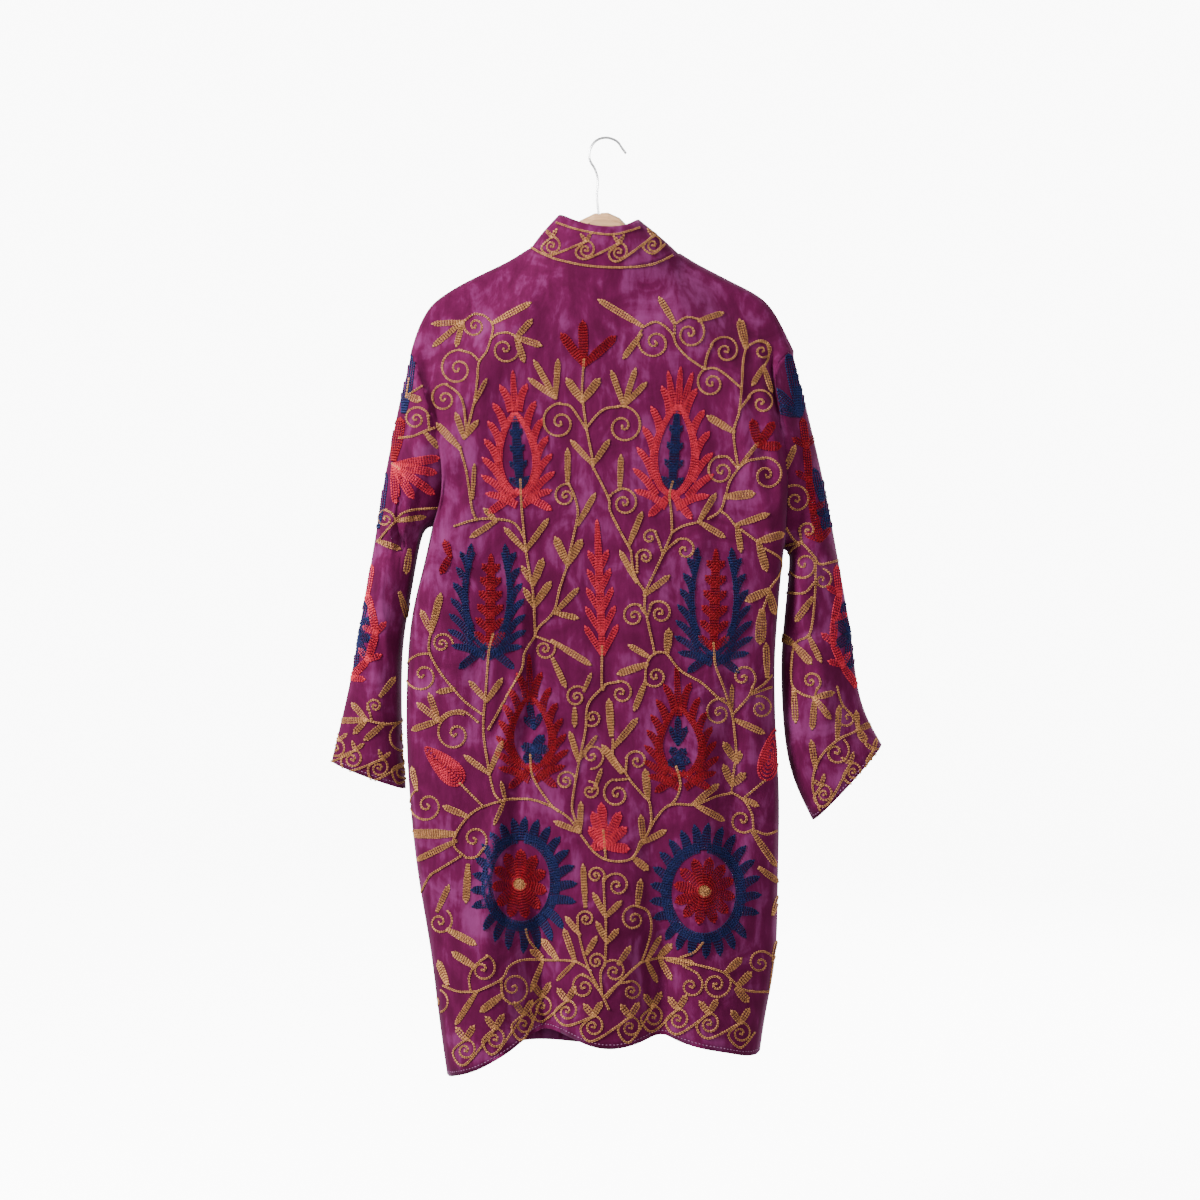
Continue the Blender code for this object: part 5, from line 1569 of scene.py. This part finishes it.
class Sewing:
    """Geometry Nodes that lay stitches along rows."""

    def __init__(self) -> None:
        """Build the node group and its two stitches."""
        self.group = bpy.data.node_groups.new("rows of stitches", "GeometryNodeTree")
        sockets = (
            ("Rows", "INPUT", "NodeSocketGeometry"),
            ("Stitch", "INPUT", "NodeSocketObject"),
            ("Spacing", "INPUT", "NodeSocketFloat"),
            ("Size", "INPUT", "NodeSocketVector"),
            ("Unevenness", "INPUT", "NodeSocketFloat"),
            ("Thread", "INPUT", "NodeSocketMaterial"),
            ("Stitches", "OUTPUT", "NodeSocketGeometry"),
        )
        self.sockets = {
            name: self.group.interface.new_socket(name, in_out=way, socket_type=kind).identifier
            for name, way, kind in sockets
        }
        self.wire()
        self.link = self.keep("chain link", link_mesh(2))
        self.dash = self.keep("running stitch", link_mesh(1))

    def keep(self, name: str, mesh: bpy.types.Mesh) -> bpy.types.Object:
        """Hold a stitch while the rows are sewn."""
        stitch = bpy.data.objects.new(name, mesh)
        bpy.context.scene.collection.objects.link(stitch)
        return stitch

    def wire(self) -> None:
        """Add and join the group's nodes."""
        tree = Tree(self.group)
        given = tree.add("NodeGroupInput")
        out = tree.add("NodeGroupOutput")
        curve = tree.add("GeometryNodeMeshToCurve")
        even = tree.add("GeometryNodeResampleCurve", mode="LENGTH")
        tangent = tree.add("GeometryNodeInputTangent")
        cloth = tree.add("GeometryNodeInputNamedAttribute", {"Name": "cloth_normal"}, data_type="FLOAT_VECTOR")
        width = tree.add("GeometryNodeInputNamedAttribute", {"Name": "row_width"}, data_type="FLOAT")
        turn = tree.add("FunctionNodeAxesToRotation", primary_axis="Z", secondary_axis="X")
        least = tree.add("ShaderNodeMath", {0: 1.0}, operation="SUBTRACT")
        most = tree.add("ShaderNodeMath", {0: 1.0}, operation="ADD")
        chance = tree.add("FunctionNodeRandomValue", {"Seed": 7}, data_type="FLOAT")
        across = tree.add("ShaderNodeMath", operation="MULTIPLY")
        both = tree.add("ShaderNodeCombineXYZ", {"X": 1.0, "Z": 1.0})
        size = tree.add("ShaderNodeVectorMath", operation="MULTIPLY")
        stitch = tree.add("GeometryNodeObjectInfo", {"As Instance": True}, transform_space="ORIGINAL")
        lay = tree.add("GeometryNodeInstanceOnPoints")
        dye = tree.add("FunctionNodeRandomValue", {2: 0.80, 3: 1.16, "Seed": 11}, data_type="FLOAT")
        mark = tree.add(
            "GeometryNodeStoreNamedAttribute", {"Name": "stitch_dye"}, data_type="FLOAT", domain="INSTANCE"
        )
        real = tree.add("GeometryNodeRealizeInstances")
        paint = tree.add("GeometryNodeSetMaterial")
        for source, target in (
            (given.outputs["Rows"], curve.inputs["Mesh"]),
            (curve.outputs["Curve"], even.inputs["Curve"]),
            (given.outputs["Spacing"], even.inputs["Length"]),
            (cloth.outputs["Attribute"], turn.inputs["Primary Axis"]),
            (tangent.outputs["Tangent"], turn.inputs["Secondary Axis"]),
            (given.outputs["Unevenness"], least.inputs[1]),
            (given.outputs["Unevenness"], most.inputs[1]),
            (least.outputs[0], chance.inputs[2]),
            (most.outputs[0], chance.inputs[3]),
            (chance.outputs[1], across.inputs[0]),
            (width.outputs["Attribute"], across.inputs[1]),
            (across.outputs[0], both.inputs["Y"]),
            (given.outputs["Size"], size.inputs[0]),
            (both.outputs[0], size.inputs[1]),
            (given.outputs["Stitch"], stitch.inputs["Object"]),
            (even.outputs["Curve"], lay.inputs["Points"]),
            (stitch.outputs["Geometry"], lay.inputs["Instance"]),
            (turn.outputs["Rotation"], lay.inputs["Rotation"]),
            (size.outputs[0], lay.inputs["Scale"]),
            (lay.outputs["Instances"], mark.inputs["Geometry"]),
            (dye.outputs[1], mark.inputs["Value"]),
            (mark.outputs["Geometry"], real.inputs["Geometry"]),
            (real.outputs["Geometry"], paint.inputs["Geometry"]),
            (given.outputs["Thread"], paint.inputs["Material"]),
            (paint.outputs["Geometry"], out.inputs["Stitches"]),
        ):
            tree.join(source, target)

    def sew(self, name: str, laid: Sequence[tuple], thread: bpy.types.Material,
        dash: bool) -> bpy.types.Object:
        """Sew rows that lie on the cloth.

        Args:
            name: the piece's name.
            laid: rows, each a list of (place, normal) and a width.
            thread: the thread's material.
            dash: true for running stitch.

        Returns:
            The stitches in one mesh.
        """
        places, normals, widths, edges = [], [], [], []
        for row, width in laid:
            first = len(places)
            for place, normal in row:
                places.append(place)
                normals += normal
                widths.append(width)
            edges += [(first + i, first + i + 1) for i in range(len(row) - 1)]
        mesh = bpy.data.meshes.new(name)
        mesh.from_pydata(places, edges, [])
        mesh.attributes.new("cloth_normal", "FLOAT_VECTOR", "POINT").data.foreach_set("vector", normals)
        mesh.attributes.new("row_width", "FLOAT", "POINT").data.foreach_set("value", widths)
        piece = add_object(name, mesh, thread)
        modifier = piece.modifiers.new("stitches", "NODES")
        modifier.node_group = self.group
        values = {
            "Stitch": self.dash if dash else self.link,
            "Spacing": 0.0044 if dash else STITCH_LENGTH,
            "Size": (0.0029, 0.0011, 0.0006) if dash else (0.0040, 0.0031, 0.0014),
            "Unevenness": 0.1,
            "Thread": thread,
        }
        for label, value in values.items():
            modifier[self.sockets[label]] = value
        applied(piece)
        return piece

    def put_away(self) -> None:
        """Take the two loose stitches out of the scene."""
        for stitch in (self.link, self.dash):
            bpy.data.objects.remove(stitch)


class Cloth:
    """The outer face of the whole jacket, which rows are laid on."""

    def __init__(self, panels: Sequence[ClothPiece]) -> None:
        """Gather the shells.

        Args:
            panels: the built pieces.
        """
        points, faces, self.owner = [], [], []
        for panel in panels:
            first = len(points)
            mesh = panel.piece.data
            points += [vert.co.copy() for vert in mesh.vertices]
            for polygon in mesh.polygons:
                faces.append([first + index for index in polygon.vertices])
                self.owner.append(panel.node)
        self.tree = BVHTree.FromPolygons(points, faces)

    def touch(self, point: Point, face: Face) -> tuple[Vector, Vector, str] | None:
        """Find where a pixel of the photo lies on the cloth.

        Args:
            point: the point.
            face: the side of the jacket.

        Returns:
            The place, the cloth's normal and the piece, or None.
        """
        x = -(point[0] - PHOTO_MIDDLE) * PIXEL
        z = -(point[1] - PHOTO_TOP) * PIXEL
        eye = Vector((EYE.x, EYE.y * face.value, EYE.z))
        way = (Vector((x, 0.0, z)) - eye).normalized()
        place, normal, index, _ = self.tree.ray_cast(eye, way)
        if place is None or normal.dot(way) > -0.04:
            return None
        return place, normal, self.owner[index]

    def lay(self, row: Row, face: Face, allowed: set[str]) -> list[tuple[str, list]]:
        """Lay one row on the cloth and cut it where it leaves a piece.

        Args:
            row: the row.
            face: the side of the jacket.
            allowed: the pieces that may take it.

        Returns:
            The lengths of row, each with its piece.
        """
        runs: list[tuple[str, list]] = []
        current: list = []
        owner = ""
        for point in row.line:
            hit = self.touch(point, face)
            if hit is None or hit[2] not in allowed:
                owner = ""
                continue
            place, normal, node = hit
            broken = bool(current) and (place - current[-1][0]).length > 0.012
            if node != owner or broken:
                current = []
                runs.append((node, current))
                owner = node
            current.append((place + normal * row.lift, tuple(normal)))
        return [run for run in runs if len(run[1]) > 1]


class Embroidery:
    """Gathers the rows of each piece and thread, and sews them."""

    def __init__(self, cloth: Cloth, sewing: Sewing, threads: dict[Thread, bpy.types.Material]) -> None:
        """Start with nothing sewn.

        Args:
            cloth: the jacket's outer face.
            sewing: what lays the stitches.
            threads: the material of each thread.
        """
        self.cloth = cloth
        self.sewing = sewing
        self.threads = threads
        self.rows: dict[tuple[str, Thread], list] = defaultdict(list)
        self.sewn: dict[str, list[bpy.types.Object]] = defaultdict(list)

    def draw(self, rows: Iterable[Row], face: Face, only: set[str]) -> None:
        """Lay rows on the jacket.

        Args:
            rows: the rows.
            face: the side that they are on.
            only: the pieces that may take them.
        """
        for row in rows:
            for node, run in self.cloth.lay(row, face, only):
                self.rows[node, row.thread].append((run, row.width))

    def finish(self) -> None:
        """Sew all that has been laid."""
        for (node, thread), laid in sorted(self.rows.items(), key=lambda item: (item[0][0],
            item[0][1].value)):
            name = f"{thread.value}_stitches_{node}"
            piece = self.sewing.sew(name, laid, self.threads[thread], thread is Thread.PALE)
            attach(piece, "root")
            self.sewn[node].append(piece)
            LOGGER.info("%s: %d rows, %d faces", name, len(laid), len(piece.data.polygons))


def edge_rows(cloth: Cloth, face: Face, span: Point, low: float, node: str) -> list[Row]:
    """Follow a lower edge with one row a little above it.

    Args:
        cloth: the jacket's outer face.
        face: the side of the jacket.
        span: where the row starts and ends across.
        low: a place below the edge.
        node: the piece that ends there.

    Returns:
        The row, in a list.
    """
    line = []
    count = max(2, round(abs(span[1] - span[0]) / 3.0))
    for i in range(count + 1):
        across = span[0] + (span[1] - span[0]) * i / count
        down = low
        while down > low - 130.0:
            hit = cloth.touch((across, down), face)
            if hit and hit[2] == node:
                line.append((across, down - EDGE_INSET))
                break
            down -= 0.5
    return [Row(smooth_line(line), Thread.PALE)] if len(line) > 2 else []


# Sub-assemblies

BACK_CREASES = (
    Crease(((0.099, -0.21), (0.146, -0.30), (0.155, -0.37), (0.170, -0.48)), 0.018, 0.0065, 0.2),
    Crease(((0.157, -0.30), (0.163, -0.38), (0.176, -0.47)), 0.009, -0.0045),
    Crease(
        ((0.097, -0.534), (0.098, -0.63), (0.121, -0.724), (0.126, -0.80), (0.141, -0.92), (0.141, -0.99)),
        0.011,
        0.0105,
        0.5,
    ),
    Crease(((0.083, -0.56), (0.084, -0.66), (0.100, -0.75), (0.108, -0.85), (0.121, -0.95)), 0.012, -0.007),
    Crease(((0.150, -0.60), (0.160, -0.74), (0.168, -0.90)), 0.015, -0.006),
    Crease(((0.080, -1.014), (0.069, -1.067)), 0.022, -0.005),
    Crease(((-0.117, -0.31), (-0.118, -0.42), (-0.110, -0.52)), 0.016, 0.004, -0.3),
    Crease(((0.050, -0.78), (0.052, -0.90), (0.058, -1.02)), 0.018, 0.005, 0.3),
    Crease(((-0.055, -0.80), (-0.062, -0.92), (-0.065, -1.06)), 0.018, -0.007),
    Crease(((-0.112, -0.66), (-0.118, -0.80), (-0.112, -0.98)), 0.016, 0.007, -0.35),
    Crease(((-0.150, -0.62), (-0.152, -0.78), (-0.148, -0.94)), 0.012, -0.006),
    Crease(((0.004, -0.50), (-0.006, -0.62), (0.002, -0.74)), 0.016, -0.003),
    Crease(((-0.17, -0.30), (-0.185, -0.36), (-0.20, -0.43)), 0.009, -0.0055),
    Crease(((-0.16, -0.36), (-0.18, -0.42), (-0.20, -0.49)), 0.009, 0.005),
    Crease(((-0.185, -0.25), (-0.202, -0.38), (-0.210, -0.50), (-0.203, -0.60)), 0.008, 0.006, -0.4),
    Crease(((0.19, -0.33), (0.185, -0.40), (0.195, -0.47)), 0.010, -0.006),
    Crease(((0.140, -0.52), (0.165, -0.50), (0.190, -0.475)), 0.009, 0.0045),
    Crease(((0.145, -0.545), (0.165, -0.53), (0.188, -0.51)), 0.007, -0.004),
    Crease(((0.010, -0.20), (0.012, -0.32), (0.008, -0.46)), 0.018, 0.0025),
)
FRONT_CREASES = (
    Crease(((0.11, -0.22), (0.14, -0.33), (0.15, -0.48)), 0.020, 0.0045),
    Crease(((-0.11, -0.22), (-0.14, -0.34), (-0.16, -0.50)), 0.020, 0.0045),
    Crease(((0.10, -0.58), (0.11, -0.72), (0.13, -0.95)), 0.016, 0.005, 0.3),
    Crease(((-0.09, -0.60), (-0.10, -0.76), (-0.12, -0.98)), 0.017, 0.005, -0.3),
    Crease(((0.05, -0.70), (0.055, -0.86), (0.06, -1.04)), 0.018, -0.004),
    Crease(((-0.04, -0.72), (-0.05, -0.90), (-0.05, -1.04)), 0.018, -0.004),
)
SLEEVE_CREASES = (
    Crease(((0.277, -0.478), (0.250, -0.470), (0.213, -0.461)), 0.011, 0.0085, 0.45),
    Crease(((0.277, -0.497), (0.250, -0.492), (0.222, -0.486)), 0.009, -0.0085),
    Crease(((0.274, -0.52), (0.262, -0.57), (0.256, -0.62), (0.240, -0.66)), 0.008, 0.0055, 0.3),
    Crease(((0.262, -0.54), (0.250, -0.60), (0.240, -0.64)), 0.008, -0.005),
    Crease(((0.205, -0.29), (0.213, -0.35), (0.222, -0.43)), 0.010, 0.005),
    Crease(((0.285, -0.62), (0.290, -0.70)), 0.010, -0.004),
    Crease(((-0.225, -0.52), (-0.245, -0.60), (-0.262, -0.70)), 0.011, 0.0055, 0.3),
    Crease(((-0.215, -0.56), (-0.235, -0.62), (-0.25, -0.68)), 0.009, -0.0055),
    Crease(((-0.235, -0.43), (-0.225, -0.50), (-0.222, -0.56)), 0.010, -0.0045),
    Crease(((-0.240, -0.47), (-0.262, -0.50), (-0.280, -0.52)), 0.008, 0.0045),
    Crease(((-0.245, -0.50), (-0.265, -0.53)), 0.007, -0.004),
)


@dataclass
class Jacket:
    """The velvet jacket: six cut pieces and all that is sewn on them."""

    groups: Groups
    sewing: Sewing
    panels: list[ClothPiece] = field(
        default_factory=lambda: [
            ClothPiece("back", (0.58, 0.95), 0.44, "velvet"),
            ClothPiece("front_left", (0.29, 0.98), 0.226, "velvet"),
            ClothPiece("front_right", (0.28, 0.95), 0.213, "velvet"),
            ClothPiece("sleeve_left", (0.30, 0.50), 0.101, "velvet", True, ("velvet_back",)),
            ClothPiece("sleeve_right", (0.30, 0.52), 0.107, "velvet", True, ("velvet_back",)),
            ClothPiece("collar", (0.44, 0.06), 0.023, "collar_velvet", False, ("velvet_back",)),
        ]
    )

    def build(self) -> None:
        """Build the shells and dress them."""
        velvet = VelvetFinish("plum velvet").material(self.groups)
        collar = VelvetFinish("plum velvet, collar", patches=16.0).material(self.groups)
        behind = BACK_CREASES + SLEEVE_CREASES
        before = FRONT_CREASES + SLEEVE_CREASES
        for panel in self.panels:
            finish = collar if panel.node == "collar" else velvet
            panel.build(finish, behind, before)
            LOGGER.info("%s: %d faces", panel.piece.name, len(panel.piece.data.polygons))
        self.close_seams()
        self.embroider()

    def close_seams(self) -> None:
        """Draw sewn edges together, each half of the way, which leaves the fronts' own edges apart."""
        trees = {
            panel.node: BVHTree.FromPolygons(
                [vert.co for vert in panel.piece.data.vertices],
                [tuple(face.vertices) for face in panel.piece.data.polygons],
            )
            for panel in self.panels
        }
        for panel in self.panels:
            kind = panel.node.split("_")[0]
            sewn = [tree for node, tree in trees.items() if node.split("_")[0] != kind]
            for vert in panel.piece.data.vertices:
                for tree in sewn:
                    nearest = tree.find_nearest(vert.co, SEAM_REACH)[0]
                    if nearest is not None:
                        vert.co = vert.co.lerp(nearest, 0.55)
                        break
            panel.piece.data.update()

    def embroider(self) -> None:
        """Sew the flowers, borders and top stitching."""
        threads = {
            Thread.GOLD: ThreadFinish("gold thread", (0.52, 0.235, 0.085)),
            Thread.RED: ThreadFinish("red thread", (0.27, 0.0002, 0.008)),
            Thread.CORAL: ThreadFinish("coral thread", (0.62, 0.022, 0.052)),
            Thread.NAVY: ThreadFinish("navy thread", (0.0048, 0.0105, 0.078)),
            Thread.PALE: ThreadFinish("pale thread", (0.30, 0.12, 0.25)),
        }
        cloth = Cloth(self.panels)
        work = Embroidery(cloth, self.sewing, {key: value.material(self.groups) for key,
            value in threads.items()})
        flowers = back_flowers() + back_left_greenery() + back_right_greenery()
        growth = self.all_rows(flowers)
        sleeves = self.all_rows(left_sleeve_work() + right_sleeve_work())
        collar = self.all_rows(collar_work())
        work.draw(growth + self.all_rows(hem_border()), Face.BEHIND, {"back"})
        work.draw(sleeves, Face.BEHIND, {"sleeve_left", "sleeve_right"})
        work.draw(collar, Face.BEHIND, {"collar", "back"})
        fronts = {"front_left", "front_right"}
        clear = []
        for motif in flowers:
            bare = 60.0 if isinstance(motif, Blade) else 34.0
            for row in motif.rows():
                if min(abs(x - PHOTO_MIDDLE) for x, _ in row.line) > bare and min(y for _,
                    y in row.line) > 330.0:
                    clear.append(row)
        work.draw(clear + self.all_rows(front_borders() + hem_border()), Face.BEFORE, fronts)
        work.draw(sleeves, Face.BEFORE, {"sleeve_left", "sleeve_right"})
        work.draw(collar, Face.BEFORE, {"collar"})
        for face, node, span, low in (
            (Face.BEHIND, "back", (448.0, 757.0), 1095.0),
            (Face.BEFORE, "front_left", (450.0, 604.0), 1095.0),
            (Face.BEFORE, "front_right", (606.0, 757.0), 1095.0),
            (Face.BEHIND, "sleeve_left", (338.0, 410.0), 815.0),
            (Face.BEHIND, "sleeve_right", (808.0, 880.0), 835.0),
            (Face.BEFORE, "sleeve_left", (338.0, 410.0), 815.0),
            (Face.BEFORE, "sleeve_right", (808.0, 880.0), 835.0),
        ):
            work.draw(edge_rows(cloth, face, span, low, node), face, {node})
        work.finish()
        self.sewing.put_away()
        for panel in self.panels:
            panel.declare(work.sewn[panel.node])

    @staticmethod
    def all_rows(motifs: Iterable[Motif]) -> list[Row]:
        """Give the rows of several motifs."""
        return [row for motif in motifs for row in motif.rows()]


@dataclass
class Hanger:
    """The wooden hanger and its wire hook."""

    def build(self) -> None:
        """Dress the hanger's two nodes."""
        for node, finish in (("hanger_wood", WoodFinish().material()), ("hanger_hook", SteelFinish().material())):
            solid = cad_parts[node]
            for slot in solid.material_slots:
                slot.material = finish
            LOGGER.info("%s: %d faces", node, len(solid.data.polygons))


@dataclass
class Studio:
    """The pale floor, the round sweep about it, the light and the camera."""

    floor: float = -1.42
    radius: float = 6.0
    bend: float = 1.2
    height: float = 6.0
    sides: int = 64

    def build(self) -> None:
        """Build the studio."""
        self.sweep()
        self.light()
        self.camera()

    def sweep(self) -> None:
        """Build the round floor and its sweep up to the wall, which no light leaves for the jacket."""
        profile = [(0.02, self.floor), (2.0, self.floor)]
        for i in range(13):
            turn = 0.5 * math.pi * i / 12.0
            out = self.radius - self.bend + self.bend * math.sin(turn)
            profile.append((out, self.floor + self.bend - self.bend * math.cos(turn)))
        profile.append((self.radius, self.floor + self.height))
        points = []
        for out, up in profile:
            for k in range(self.sides):
                turn = math.tau * k / self.sides
                points.append((out * math.cos(turn), out * math.sin(turn), up))
        faces = [tuple(range(self.sides))]
        for ring in range(len(profile) - 1):
            for k in range(self.sides):
                a, b = ring * self.sides + k, ring * self.sides + (k + 1) % self.sides
                faces.append((a, a + self.sides, b + self.sides, b))
        mesh = bpy.data.meshes.new("sweep")
        mesh.from_pydata(points, [], faces)
        for polygon in mesh.polygons:
            polygon.use_smooth = True
        sweep = add_object("sweep", mesh, PaperFinish().material())
        sweep.visible_diffuse = False
        sweep.visible_glossy = False
        sweep.visible_shadow = False

    def light(self) -> None:
        """Set soft light from both sides and a bright even sky."""
        world = bpy.data.worlds.new("soft room")
        bpy.context.scene.world = world
        world.use_nodes = True
        sky = world.node_tree.nodes["Background"]
        sky.inputs["Color"].default_value = (1.0, 1.0, 1.0, 1.0)
        sky.inputs["Strength"].default_value = 0.8
        lamps = (
            ("key", (2.3, 1.4, 0.9), 260.0, 0.7),
            ("fill", (-2.2, 2.6, 0.1), 60.0, 2.0),
            ("front", (-1.6, -2.4, 0.7), 110.0, 1.6),
        )
        for name, place, power, size in lamps:
            data = bpy.data.lights.new(name, "AREA")
            data.energy = power
            data.size = size
            lamp = bpy.data.objects.new(name, data)
            lamp.location = place
            lamp.rotation_euler = (Vector((0.0, 0.0, -0.55)) - Vector(place)).to_track_quat("-Z", "Y").to_euler()
            bpy.context.scene.collection.objects.link(lamp)

    def camera(self) -> None:
        """Stand the camera behind the jacket, level and square to it."""
        data = bpy.data.cameras.new("camera")
        data.lens = 60.0
        data.sensor_width = 36.0
        camera = bpy.data.objects.new("camera", data)
        camera.location = EYE
        camera.rotation_euler = (math.radians(90.0), 0.0, math.radians(180.0))
        bpy.context.scene.collection.objects.link(camera)
        bpy.context.scene.camera = camera


def main() -> None:
    """Build every sub-assembly in order."""
    logging.basicConfig(level=logging.INFO, format="%(message)s")
    groups = Groups()
    Hanger().build()
    Jacket(groups, Sewing()).build()
    Studio().build()


if __name__ == "__main__":
    main()
